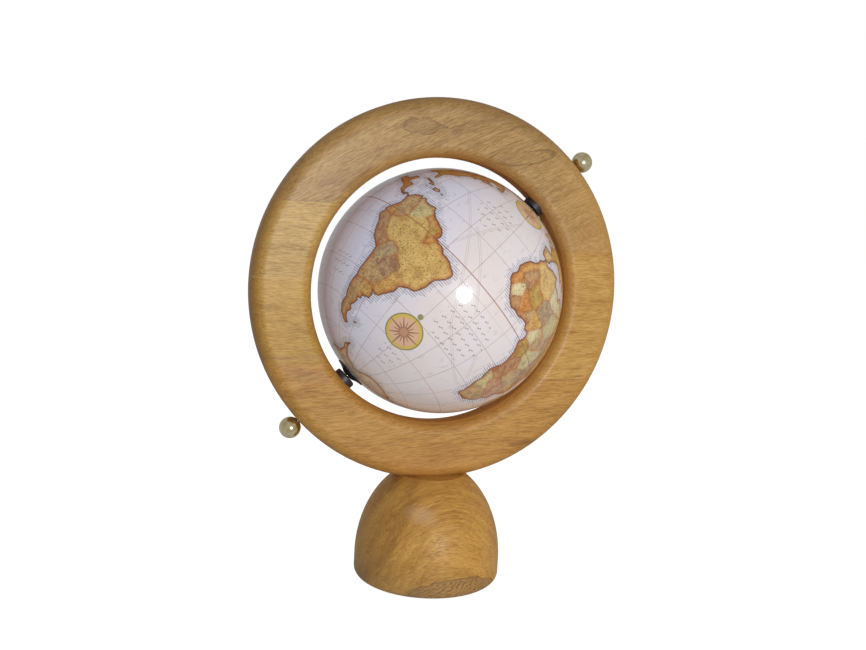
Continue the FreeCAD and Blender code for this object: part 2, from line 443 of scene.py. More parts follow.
def top_figure(body, finish, here, cloud, **others):
    x, y, z = finish.parts(here)
    behind = y.over(0, 6) * FAR
    wobble = (finish.noise(here, (8.0, 8.0, 4.0), detail=3.0) - 0.5) * 1.7 + behind
    patch = spot(finish, here, (-22, 283.6), (12, 4.2), 5) + wobble
    leaf = spot(finish, here, (49, 269.6), (18, 3.8), 12) + wobble * 0.4
    leaf_edge = (leaf - 1).abs().under(0.10, 0.14) * (x + (268 - z) * 2).over(36, 16)
    arch = spot(finish, here, (4, 188), (100, 80)) + cloud * 0.25
    growth_lines = arch.near(0.055).under(0.006, 0.02) * x.over(6, 20)
    knot = spot(finish, here, (95, 227), (9, 5.5), -40) + wobble * 0.5
    knot_rings = knot.near(0.55).under(0.08, 0.2) * knot.under(1.9, 1.2)
    # Painted shade: a darker grey-brown band along the rounded top of the outer rim.
    top_rim_shade = ring_radius(finish, here).over(109, 3) * x.over(-40, 30) * x.under(70, 30)
    return finish.layers(
        body,
        (patch.under(1.0, 0.25), 0.34, (118, 84, 46)),
        ((patch - 1).abs().under(0.09, 0.14), 0.5, (98, 68, 36)),
        (leaf.under(1.0, 0.3), 0.2, (134, 98, 56)),
        (leaf_edge, 0.6, (92, 62, 30)),
        (growth_lines, 0.2, (116, 82, 42)),
        (knot_rings, 0.45, (118, 78, 40)),
        (knot.under(0.5, 0.6), 0.3, (150, 92, 44)),
        (x.over(80, 36), 0.32, (206, 158, 84)),
        (top_rim_shade, 0.25, (120, 92, 58)))


wood_top = wood("wood_top", (colour(130, 94, 48), colour(167, 131, 78), colour(187, 153, 98)), 27,
                (12, 0, 40), clouds=0.45, dry=hole_wall,
                details=ring_details([(top_low, GLUE_DARK, 0.2), (right_top, GLUE_DARK, 0.25)], top_figure))
paint(wood_top, "ring_top_arc")
print("top board", wood_top.name)

# %% [markdown]
# The two left boards are the yellowest, and the right and bottom boards are more orange. They are
# made in a loop, because they differ only in their numbers and in a small figure or two.

# %% Side and bottom boards


def purple_streak(body, finish, here, streak, **others):
    """A dull purple streak just over the lower glue line."""
    z = finish.parts(here)[2]
    band = (z - left_low - 3 + streak * 5).abs().under(1.2, 2.4)
    return finish.layers(body, (band, 0.35, (142, 104, 80)))


def bottom_figure(body, finish, here, streak, **others):
    """A purple smear on the left, a scar along the right rim and a warmer tone at the bottom."""
    _, y, z = finish.parts(here)
    ragged = streak * 1.6 + y.over(0, 6) * FAR
    smear = spot(finish, here, (-87, 134.5), (14, 4), -12) + ragged
    scar = spot(finish, here, (58, 89), (12, 1.8), 10) + ragged
    return finish.layers(body,
                         (smear.under(0.8, 0.9), 0.35, (136, 98, 72)),
                         (scar.under(0.8, 0.7), 0.6, (112, 74, 36)),
                         (z.under(82, 26), 0.3, (176, 112, 52)))


# Node, material, dark, middle and light tone, slope of the grain, shift, glue lines and own figure.
SIDE_BOARDS = [
    ("ring_left_upper_block", "wood_left_upper", (142, 104, 44), (186, 149, 80), (206, 171, 102), 4,
     (31, 9, 5), [(top_low, GLUE_DARK, 0.2), (left_mid, GLUE_LIGHT, 0.25)], None),
    ("ring_left_lower_block", "wood_left_lower", (142, 102, 40), (184, 144, 70), (205, 166, 92), -3,
     (80, 3, 17), [(left_mid, GLUE_LIGHT, 0.25), (left_low, GLUE_DARK, 0.25)], purple_streak),
    ("ring_right_block", "wood_right", (146, 102, 42), (186, 142, 72), (204, 162, 92), 3,
     (50, 4, 61), [(right_top, GLUE_DARK, 0.35), (right_low, GLUE_DARK, 0.2)], None),
    ("ring_bottom_arc", "wood_bottom", (140, 94, 38), (180, 133, 66), (198, 154, 86), 5,
     (9, 7, 90), [(left_low, GLUE_DARK, 0.35), (right_low, GLUE_DARK, 0.2)], bottom_figure),
]
for node, name, dark, middle, light, slope, shift, joints, extra in SIDE_BOARDS:
    tones = (colour(*dark), colour(*middle), colour(*light))
    # The left boards get stronger painted shade on their outer rims, because the light comes from the
    # right.
    rim = 0.65 if "left" in node else 0.2
    paint(wood(name, tones, slope, shift, contrast=0.85, dry=hole_wall,
               details=ring_details(joints, extra, rim)), node)
    print(name, "on", node)

# %% [markdown]
# The base is turned from one block. Its growth rings show as arches, a dark slanting band crosses it
# on the left, and a patch of broken rays marks the foot at the front, where the lathe cut through
# cross grain. Painted shade darkens its left side and its lower left, and a painted shadow of the
# ring darkens its top.

# %% Base


def base_figure(body, finish, here, streak, cloud, fibre):
    x, y, z = finish.parts(here)
    wobble = cloud * 0.9 + streak * 0.5
    behind = y.over(-14, 10) * FAR
    arch = spot(finish, here, (6, 6), (33, 44)) + wobble * 0.4
    arch_lines = arch.near(0.17).under(0.02, 0.06) * arch.over(0.55, 0.3)
    slant = (x - z * 0.47 + 47.5 + wobble * 8).abs()
    pale = spot(finish, here, (-15, 51), (8, 5.5)) + wobble + behind
    foot = spot(finish, here, (6, 3), (27, 11)) + wobble * 0.6 + behind
    rays = (z * 0.8 - x * 0.5 + wobble * 11).near(2.0).under(0.4, 0.7) * fibre.over(-0.04, 0.3)
    return finish.layers(
        body,
        (arch_lines, 0.32, (132, 88, 40)),
        (slant.under(2.0, 5), 0.4, (122, 82, 40)),
        # Painted shade: the left side of the dome is darker.
        ((x - z * 0.3).under(-42, 10), 0.2, (124, 90, 52)),
        (pale.under(0.8, 0.8), 0.4, (196, 164, 132)),
        (foot.under(1.0, 0.12), 0.5, (150, 117, 78)),
        ((foot - 1).abs().under(0.03, 0.06), 0.6, (92, 62, 34)),
        (rays * foot.under(1.0, 0.3), 1.0, (98, 66, 36)),
        # Painted shade: the lower left of the dome is darker and greyer.
        (z.under(16, 22) * x.under(0, 44), 0.35, (136, 112, 78)),
        # Painted shadow of the ring: the top of the dome, under the ring, is darker.
        (z.over(65, 6), 0.3, (158, 104, 44)))


wood_base = wood("wood_base", (colour(134, 87, 32), colour(187, 139, 65), colour(208, 163, 88)), 0,
                 (20, 33, 7), pith=(-70.0, -20.0), ring_width=7.0, ring_share=0.22, clouds=0.4,
                 contrast=0.6, bow=(4.0, 85.0), details=base_figure)
paint(wood_base, "base_dome")
dowel_wood = wood("dowel_wood", (colour(190, 160, 118), colour(214, 188, 146), colour(226, 204, 166)), 90)
paint(dowel_wood, "base_dowels")
print("base and dowels")

# %% [markdown]
# ## Metals and plastics
# The balls are lacquered brass, the rod, screw and washer are zinc plated steel. Real polished metal
# is never even: fine scratches change its roughness and a thin film changes its colour. On the brass,
# the wide range of that colour also stands in for the room's reflections, as painted reflection. The
# bushes and pole plugs are satin black plastic with a fine moulded texture.

# %% Metal and plastic


def metal(name, dull, bright, roughness, scratch):
    finish = Finish(name, Metallic=1.0)
    here = finish.place()
    film_and_reflection = finish.noise(here, (4.0, 4.0, 4.0), detail=3.0)
    hair = finish.noise(here, scratch, detail=2.0)
    body = finish.mix(film_and_reflection.over(0.5, 0.5), colour(*dull), colour(*bright))
    finish.bump(hair, 0.01, 0.4)
    return finish.set(Base_Color=body, Roughness=roughness + (hair - 0.5) * 0.12)


def plastic(name, dark, light, roughness, grain):
    finish = Finish(name)
    here = finish.place()
    texture = finish.noise(here, (grain,) * 3, detail=2.0)
    tone = finish.noise(here, (9.0, 9.0, 9.0), detail=1.0)
    body = finish.mix(tone, colour(*dark), colour(*light))
    finish.bump(texture, 0.03, 0.6)
    return finish.set(Base_Color=body, Roughness=roughness + (texture - 0.5) * 0.2)


# Painted reflection: the brass's wide range from dull to bright stands in for a room's reflections, over
# the real film colour.
brass = metal("brass", (206, 184, 130), (255, 244, 206), 0.17, (0.5, 3.0, 0.5))
steel = metal("steel", (150, 152, 154), (196, 198, 200), 0.3, (0.3, 0.3, 3.0))
black_plastic = plastic("black_plastic", (34, 27, 27), (52, 42, 40), 0.46, 0.5)
shell_plastic = plastic("shell_plastic", (214, 212, 206), (230, 228, 222), 0.5, 0.8)
for material, names in (
        (brass, ("finial_upper", "finial_lower")),
        (steel, ("axle_rod", "base_screw", "base_screw_washer")),
        (black_plastic, ("ring_bush_upper", "ring_bush_lower", "pole_plug_north", "pole_plug_south")),
        (shell_plastic, ("globe_shell_north", "globe_shell_south", "globe_joining_band"))):
    paint(material, *names)
    print(material.name, "on", len(names), "nodes")

# %% [markdown]
# ## Felt pad
# The dome rests on a felt disc. A flat disc with a felt colour looks like card, because cut felt has
# a fringe of loose fibres. Geometry Nodes make the fringe: points on the rim, a thin pointed fibre on
# each, and a random turn and size from a fixed seed. `GeometryTree` below is a small helper that
# builds such a tree, with named inputs, and turns its result into a plain mesh.

# %% A Geometry Nodes helper
SOCKETS = {"FLOAT": "NodeSocketFloat", "INT": "NodeSocketInt", "VECTOR": "NodeSocketVector",
           "MATERIAL": "NodeSocketMaterial"}


class GeometryTree:
    """A node tree with named inputs, which ends in Realize Instances and Set Material."""

    def __init__(self, name, **inputs):
        self.tree = bpy.data.node_groups.new(name, "GeometryNodeTree")
        self.values = {}
        for label, (kind, value) in inputs.items():
            socket = self.tree.interface.new_socket(label, in_out="INPUT", socket_type=SOCKETS[kind])
            self.values[socket.identifier] = value
        self.tree.interface.new_socket("Geometry", in_out="OUTPUT", socket_type="NodeSocketGeometry")
        self.given = self.tree.nodes.new("NodeGroupInput").outputs
        self.end = self.tree.nodes.new("NodeGroupOutput")

    def node(self, kind, settings, sockets, output=0):
        node = self.tree.nodes.new(kind)
        for name, value in settings.items():
            setattr(node, name, value)
        for name, value in sockets.items():
            if isinstance(value, bpy.types.NodeSocket):
                self.tree.links.new(value, node.inputs[name])
            else:
                node.inputs[name].default_value = value
        return node.outputs[output]

    def mesh(self, name, geometry):
        """Ends the tree, runs it on an empty object and returns the result as a plain mesh object."""
        real = self.node("GeometryNodeRealizeInstances", {}, {"Geometry": geometry})
        dressed = self.node("GeometryNodeSetMaterial", {}, {
            "Geometry": real, "Material": self.given["Material"]})
        self.tree.links.new(dressed, self.end.inputs[0])
        maker = bpy.data.objects.new(name + "_maker", bpy.data.meshes.new(name + "_empty"))
        bpy.context.scene.collection.objects.link(maker)
        modifier = maker.modifiers.new("nodes", "NODES")
        modifier.node_group = self.tree
        for identifier, value in self.values.items():
            modifier[identifier] = value
        seen = maker.evaluated_get(bpy.context.evaluated_depsgraph_get())
        mesh = bpy.data.meshes.new_from_object(seen)
        maker.modifiers.remove(modifier)
        bpy.data.objects.remove(maker)
        return new_piece(name, mesh)


def new_piece(name, mesh):
    mesh.name = name
    piece = bpy.data.objects.new(name, mesh)
    bpy.context.scene.collection.objects.link(piece)
    return piece


print("helper ready")

# %% [markdown]
# The felt's own colour is a dark green made of many fibres, so its noise is very fine, and a sheen
# gives it the pale edge that standing fibres have.

# %% Felt material


def felt_finish():
    finish = Finish("felt", Sheen_Weight=0.4, Sheen_Roughness=0.6)
    here = finish.place()
    tangle = finish.noise(here, (0.5, 0.5, 0.5), detail=4.0, roughness=0.7)
    cloud = finish.noise(here, (6.0, 6.0, 6.0))
    tone = tangle * 0.7 + cloud * 0.3
    body = finish.mix(tone.over(0.5, 0.5), colour(26, 40, 32), colour(58, 82, 64))
    finish.bump(tangle, 0.3, 0.9)
    return finish.set(Base_Color=body, Roughness=0.92 + (tone - 0.5) * 0.1)


felt = felt_finish()
print(felt.name)

# %% [markdown]
# The pad's rim bulges a little where the stand presses on it, which the new disc shows as a rounded
# edge. The fringe's fibres that would reach below the table are pressed flat on it.

# %% Felt disc and its fringe
FIBRES = 900
FIBRE_LENGTH = 0.9 * MM
FIBRE_R = 0.03 * MM
PAD_SIDES = 192


def felt_disc(name, radius, low, high, steps=6):
    """Closed disc with a rounded rim, turned about Z."""
    half = (high - low) / 2
    rim = [(radius - half * 0.4 + half * 0.4 * math.cos(a), (low + high) / 2 + half * math.sin(a))
           for a in (math.radians(-90 + 180 * k / steps) for k in range(steps + 1))]
    bm = bmesh.new()
    loops = []
    for r, z in rim:
        loops.append([bm.verts.new((r * math.cos(t), r * math.sin(t), z))
                      for t in (2 * math.pi * k / PAD_SIDES for k in range(PAD_SIDES))])
    for lower, upper in zip(loops, loops[1:]):
        for k in range(PAD_SIDES):
            after = (k + 1) % PAD_SIDES
            bm.faces.new((lower[k], lower[after], upper[after], upper[k]))
    bm.faces.new(list(reversed(loops[0])))
    bm.faces.new(loops[-1])
    mesh = bpy.data.meshes.new(name)
    bm.to_mesh(mesh)
    bm.free()
    mesh.materials.append(felt)
    return new_piece(name, mesh)


def felt_fringe(name):
    """Loose fibres round the cut edge of the pad."""
    tree = GeometryTree(name, Radius=("FLOAT", PAD_R), Height=("FLOAT", (pad_low.z + pad_high.z) / 2),
                        Count=("INT", FIBRES), Length=("FLOAT", FIBRE_LENGTH), Thickness=("FLOAT", FIBRE_R),
                        Seed=("INT", 7), Material=("MATERIAL", felt))
    given = tree.given
    rim = tree.node("GeometryNodeMeshCircle", {}, {"Vertices": given["Count"], "Radius": given["Radius"]})
    lift = tree.node("ShaderNodeCombineXYZ", {}, {"Z": given["Height"]})
    rim = tree.node("GeometryNodeTransform", {}, {"Geometry": rim, "Translation": lift})
    shape = tree.node("GeometryNodeMeshCone", {"fill_type": "TRIANGLE_FAN"}, {
        "Vertices": 3, "Radius Top": 0.0, "Radius Bottom": given["Thickness"], "Depth": given["Length"]})
    outward = tree.node("GeometryNodeInputPosition", {}, {})
    turn = tree.node("FunctionNodeAlignRotationToVector", {"axis": "Z"}, {"Vector": outward})
    tilt = tree.node("FunctionNodeRandomValue", {"data_type": "FLOAT_VECTOR"}, {
        "Min": (-1.2, -1.2, -3.1), "Max": (1.2, 1.2, 3.1), "Seed": given["Seed"]})
    turned = tree.node("FunctionNodeRotateRotation", {"rotation_space": "LOCAL"}, {
        "Rotation": turn, "Rotate By": tilt})
    size = tree.node("FunctionNodeRandomValue", {"data_type": "FLOAT"}, {
        2: 0.4, 3: 1.0, "Seed": given["Seed"]}, 1)
    placed = tree.node("GeometryNodeInstanceOnPoints", {}, {
        "Points": rim, "Instance": shape, "Rotation": turned, "Scale": size})
    return tree.mesh(name, placed)


pad = felt_disc("felt_pad", PAD_R, pad_low.z, pad_high.z)
fringe = felt_fringe("felt_pad_fringe")
low_edge = np.array([v.co.z for v in fringe.data.vertices]).min()
for vertex in fringe.data.vertices:
    vertex.co.z = max(vertex.co.z, pad_low.z)
for piece in (pad, fringe):
    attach(piece, "stand")
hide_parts("base_pad")
print("fringe", len(fringe.data.polygons), "faces, lowest fibre was", round(low_edge / MM, 2), "mm")

# %% [markdown]
# ## The printed globe
# The ball is covered with a varnished map. An image would be the usual way, but a map can also be
# worked out: the coasts are outlines of longitude and latitude, and every vertex of a fine ball
# stores how far it is from the nearest coast, positive on land. The shader then draws the coast, the
# brown edge and the hatching at sea from that one number, crisp at any distance.

# %% Map axes
MAP_TURN = math.radians(-17.31)        # longitude that faces the ring's front
MAP_RISE = math.radians(42.67)
MAP_TWIST = math.radians(4.95)         # the printed pole lies beside the rod


def map_axes():
    """World directions of longitude 0, longitude 90 and the north pole of the print."""
    north = Vector((math.cos(MAP_RISE) * math.cos(MAP_TWIST), math.sin(MAP_TWIST),
                    math.sin(MAP_RISE) * math.cos(MAP_TWIST)))
    front = Vector((0, -1, 0))
    front = (front - north * front.dot(north)).normalized()
    side = north.cross(front)
    zero = front * math.cos(MAP_TURN) - side * math.sin(MAP_TURN)
    ninety = front * math.sin(MAP_TURN) + side * math.cos(MAP_TURN)
    return np.array([zero, ninety, north])


def on_sphere(lon, lat):
    """Unit vector, or rows of them, for longitudes and latitudes in degrees."""
    lon, lat = np.radians(lon), np.radians(lat)
    return np.stack([np.cos(lat) * np.cos(lon), np.cos(lat) * np.sin(lon), np.sin(lat)], -1)


MAP_AXES = map_axes()
print("the print's pole is", round(math.degrees(Vector(MAP_AXES[2]).angle(ROD_DIRECTION)), 1),
      "degrees off the rod")

# %% [markdown]
# The outlines follow the real coasts, with a corner every two or three degrees where the coast turns.
# A little noise in the shader gives them the small bays that the corners leave out. Each outline is
# closed and goes round its land once, and `WATERS` holds the inland seas.

# %% Coasts of the Americas
COASTS = {
    "south_america": [(-77.3, 8.6), (-75.6, 10.7), (-74.2, 11.3), (-71.9, 12.2), (-71.4, 10.8), (-70, 12),
        (-68.2, 10.7), (-65.8, 10.2), (-64, 10.6), (-61.9, 10.7), (-61, 9.2), (-60, 8.5), (-58.4, 7),
        (-55.2, 5.9), (-52.3, 4.8), (-51, 3.5), (-50, 1.7), (-50.5, 0), (-48.3, -0.5), (-46, -1.1),
        (-44.3, -2.7), (-41.5, -2.9), (-38.5, -3.8), (-36.5, -5.1), (-35.2, -5.8), (-34.8, -7.5),
        (-35.3, -9.5), (-37, -11.5), (-38.4, -13), (-39, -15.5), (-39.2, -18), (-40.2, -20.5), (-41, -22),
        (-43.5, -23), (-46, -24), (-48.3, -25.7), (-48.6, -28.5), (-50.5, -30.5), (-52.3, -32.3),
        (-54, -34.5), (-56.2, -34.9), (-58.3, -34), (-57.2, -36), (-57.6, -38.1), (-62.1, -39),
        (-62.3, -40.8), (-65, -41), (-63.7, -42.4), (-65.3, -44.5), (-67.5, -46), (-65.8, -47.8),
        (-68.4, -50.2), (-68.4, -52.4), (-65.3, -54.7), (-68.5, -55.5), (-71.5, -54), (-74.5, -52),
        (-75.4, -49), (-74.5, -46.5), (-73, -43.8), (-73.8, -41.5), (-73.5, -38.5), (-72.8, -36),
        (-71.6, -33), (-71.5, -30), (-70.5, -25.5), (-70.1, -21), (-70.4, -18.4), (-72.5, -16.8),
        (-75.5, -15), (-76.3, -13.5), (-77.2, -12), (-78.8, -8.5), (-81.2, -6), (-81.3, -4.5),
        (-80, -3.3), (-80.9, -2.2), (-80.3, -0.5), (-79, 1.2), (-77.5, 3), (-77.2, 4.5), (-77.5, 6.5),
        (-78.1, 7.5)],
    "north_america": [(-77.3, 8.6), (-79.5, 9.5), (-82, 8.9), (-83.5, 10.5), (-83.5, 12.5), (-83.2, 15),
        (-85.9, 15.9), (-88.5, 15.8), (-87.8, 18.2), (-86.8, 21), (-90.4, 21.3), (-91, 18.7),
        (-94.4, 18.1), (-96.2, 19.2), (-97.8, 22.4), (-97.2, 25.9), (-97, 28), (-94.8, 29.3),
        (-91.5, 29.5), (-89.2, 29.1), (-88, 30.4), (-84.2, 30), (-82.7, 28), (-81.8, 26), (-80.4, 25.2),
        (-80.1, 27), (-81.4, 30.5), (-79.5, 33), (-77.9, 34), (-75.6, 35.3), (-76.2, 37), (-74.6, 39),
        (-74, 40.6), (-70, 41.6), (-70.6, 43), (-67, 44.7), (-66.2, 43.5), (-61, 45.5), (-60, 46.5),
        (-64.5, 46.5), (-65, 48.2), (-69, 48.2), (-66.5, 50.1), (-60, 50.2), (-56, 51.9), (-56, 53.5),
        (-60.5, 55.5), (-62.5, 58.3), (-65, 60.2), (-67.5, 58.5), (-70, 61), (-77.5, 62.4), (-78.2, 58.8),
        (-76.6, 56.2), (-79.2, 54.8), (-79, 51.4), (-82.3, 52.9), (-82.4, 55.2), (-88, 56.7),
        (-94.5, 58.8), (-94, 61), (-90.5, 63), (-87, 64.2), (-86.5, 66.5), (-81.5, 69.5), (-85.5, 69.5),
        (-90, 68.5), (-94, 71.8), (-97, 68.5), (-105, 68), (-115, 68), (-124, 70), (-135, 69),
        (-141, 69.6), (-156.5, 71.3), (-163, 69), (-166.5, 68.3), (-162, 66.3), (-168, 65.6),
        (-161, 64.5), (-165, 62), (-162, 59), (-157.5, 58.7), (-162.5, 55.2), (-158, 56.5), (-154, 58.5),
        (-150, 61), (-147, 60.8), (-141, 60), (-137, 58.5), (-133.5, 55.5), (-130, 54), (-127.5, 51),
        (-124.5, 48.4), (-124, 46.2), (-124.3, 40.4), (-122.5, 37.8), (-120.6, 34.6), (-117.2, 32.7),
        (-115.8, 30), (-114.2, 28.2), (-112.2, 26), (-110, 22.9), (-109.5, 23.6), (-111.3, 26),
        (-113, 29), (-114.7, 31.6), (-112.5, 29.5), (-109.4, 26.3), (-105.6, 22.8), (-105.4, 20.4),
        (-103.5, 18.4), (-99.8, 16.8), (-95.2, 15.9), (-92.2, 14.5), (-87.6, 13), (-85.8, 11),
        (-85.8, 10), (-83.6, 8.6), (-82.8, 8), (-80.2, 7.4), (-79.5, 8.9), (-78.2, 8), (-77.9, 7.3)],
    "greenland": [(-73, 78.2), (-60, 82), (-35, 83.6), (-21, 82), (-18, 77), (-21, 72), (-22.5, 70.2),
        (-32, 68), (-38.5, 65.5), (-43, 60), (-48.5, 61.2), (-52, 64.2), (-53.7, 67.5), (-51, 69.8),
        (-55, 72.5), (-60, 76), (-68, 76)],
    "iceland": [(-24.3, 65.5), (-22.5, 66.4), (-16, 66.4), (-13.6, 65), (-18.7, 63.4), (-22.7, 63.9)],
}
print("outlines:", len(COASTS))

# %% Coasts of Africa, Europe and Asia
COASTS.update({
    "africa": [(-5.9, 35.8), (-2, 35.1), (3, 36.8), (10, 37.3), (10.2, 34.3), (11.2, 33.2), (15.3, 32.3),
        (19, 30.3), (20.1, 32), (23, 32.7), (25, 31.6), (29, 30.9), (31.5, 31.5), (32.6, 31),
        (32.6, 29.9), (34, 27), (35.6, 24), (37.2, 21), (37.4, 18.5), (39.5, 15.5), (43.2, 12.4),
        (43.5, 11.3), (47, 11.2), (51.2, 11.9), (50.8, 9.5), (48, 4.5), (45.3, 2), (41.5, -1.8),
        (39.6, -4.2), (39.3, -7), (40.5, -10.5), (40.7, -15), (37, -17.9), (34.8, -20), (35.4, -23.8),
        (32.7, -26), (32.5, -28.5), (30.5, -31), (27.5, -33.3), (25.6, -34), (20, -34.8), (18.4, -34.1),
        (18.2, -32), (16.5, -28.6), (15, -26), (14.5, -22.8), (12, -18), (12, -15.8), (13.6, -12.3),
        (13.2, -8.8), (12.2, -6), (11.8, -4.6), (9.3, -1.9), (8.8, -0.7), (9.6, 1), (9.7, 3.5),
        (8.5, 4.6), (6, 4.3), (4.4, 6.3), (1.2, 6), (-2, 4.8), (-4.5, 5.2), (-7.6, 4.4), (-11.4, 6.8),
        (-13.3, 8.8), (-15, 10.8), (-16.7, 12.4), (-17.5, 14.7), (-16.3, 17), (-17, 21), (-15.8, 24),
        (-14, 26.5), (-11.5, 28.2), (-9.8, 30), (-9.3, 32.5), (-6.8, 34)],
    "madagascar": [(49.3, -12), (50.4, -15.8), (47.2, -24.8), (45.2, -25.5), (43.6, -22.5), (44.4, -17),
        (47.5, -14.8)],
    "eurasia": [(-5.6, 36), (-2, 36.8), (0.2, 40.5), (3.2, 42), (4.5, 43.4), (8.9, 44.4), (10.5, 42.9),
        (14, 40.8), (16, 38), (16.5, 39.5), (18.4, 40.1), (16, 41.8), (13.6, 43.6), (12.4, 45.3),
        (14.5, 45), (19.4, 41.8), (20, 39.6), (21.7, 36.8), (24, 37.8), (23, 40.3), (26.2, 40.9),
        (26.2, 39.3), (27.3, 37), (30.6, 36.8), (34, 36.2), (36, 36.6), (35.5, 33.8), (34.5, 31.5),
        (32.6, 31), (32.6, 29.9), (34.3, 27.8), (34.9, 29.5), (37, 25), (39, 21.5), (42.7, 16.5),
        (43.4, 12.7), (45, 12.8), (52.2, 15.6), (55.2, 17.3), (57.7, 19), (59.8, 22.5), (56.4, 26.2),
        (54, 24.2), (51.5, 25.8), (48, 30), (50.8, 29), (52.5, 27.4), (56.5, 27), (58.5, 25.5),
        (62, 25.1), (66.6, 25.2), (68.5, 23.5), (70.2, 20.9), (72.7, 21.5), (72.8, 19), (73.8, 15.5),
        (76.2, 10), (77.6, 8.1), (79.8, 10.3), (80.3, 13.5), (82.3, 16.7), (86.5, 20.2), (88.5, 21.8),
        (91.8, 22.3), (94.3, 16), (97.3, 16.5), (98.6, 13), (98.4, 8.5), (100.4, 5.5), (103.5, 1.4),
        (103.4, 4), (101, 6.9), (99.3, 9.5), (100.5, 13.4), (102.7, 11.8), (104.8, 8.7), (107, 10.5),
        (109.3, 12.5), (107.5, 16.6), (105.8, 19), (108, 21.6), (110.3, 21.2), (113.8, 22.3),
        (116.8, 23.3), (119.8, 25.7), (121.8, 29.5), (121, 32.5), (119.4, 35), (122.5, 37.2), (118, 38.5),
        (121, 40.8), (121.6, 39), (124.5, 39.9), (126.5, 34.5), (129.2, 35.2), (128.5, 38.5),
        (127.5, 39.8), (130.5, 42.4), (132, 43.2), (136, 44.5), (140.5, 48.5), (141.3, 52.5),
        (137.5, 53.8), (135.3, 54.8), (143, 59.2), (154.8, 59.5), (156.5, 61.5), (160, 61.8), (163, 61.5),
        (156.7, 57.5), (155.9, 53), (156.7, 51), (160, 53.3), (162.5, 56.2), (163.3, 58.3), (170.3, 60),
        (177.5, 62.6), (179, 64.8), (190.3, 66), (180, 68.9), (170.5, 69.7), (160.5, 69.6), (150, 71.6),
        (140, 72.6), (130, 71), (127, 73.3), (113.5, 73.8), (104.2, 77.7), (98, 76.2), (87, 75.2),
        (80.5, 73.5), (73, 71.5), (68.5, 73), (66.9, 69.3), (60, 68.9), (54, 68.5), (46, 68), (44, 66.2),
        (40, 64.6), (34.5, 65.5), (41, 66.8), (36, 69.2), (31, 70.3), (25.8, 71), (19, 69.8), (14, 67.3),
        (10.5, 64), (5, 61.8), (5.5, 59), (7.5, 58), (10.6, 59.2), (11.5, 57.6), (12.8, 55.6),
        (14.3, 55.5), (16.6, 57.5), (18.8, 60), (17.2, 61.7), (21, 63.8), (24, 65.7), (21.5, 62.5),
        (21.5, 60.8), (25, 60.1), (30, 59.9), (24, 59.2), (23.6, 57.3), (21, 56.5), (20.5, 54.9),
        (18.6, 54.6), (14.2, 53.9), (11, 54.2), (10.4, 57.6), (8.2, 56.8), (8.7, 54.1), (5, 53.3),
        (3.5, 51.5), (1.6, 50.6), (0.2, 49.5), (-1.6, 49.7), (-2, 48.7), (-4.7, 48.4), (-1.9, 46.8),
        (-1.3, 44.5), (-1.8, 43.4), (-8, 43.7), (-9.3, 43), (-8.8, 41), (-9.5, 38.7), (-8.9, 37),
        (-6.4, 36.7)],
})
WATERS = {
    "black_sea": [(28.5, 41.8), (28, 43.5), (30.5, 46.3), (33.4, 44.6), (36.5, 45.3), (38.5, 44.4),
        (41.6, 41.7), (38, 41.1), (35, 42), (31.5, 41.3)],
    "caspian_sea": [(47, 45), (51, 47), (53.2, 45.5), (51, 44.5), (54, 41.3), (53.8, 37), (49.3, 37.5),
        (49.5, 40.5), (47.5, 43)],
}
print("outlines:", len(COASTS), "inland seas:", len(WATERS))

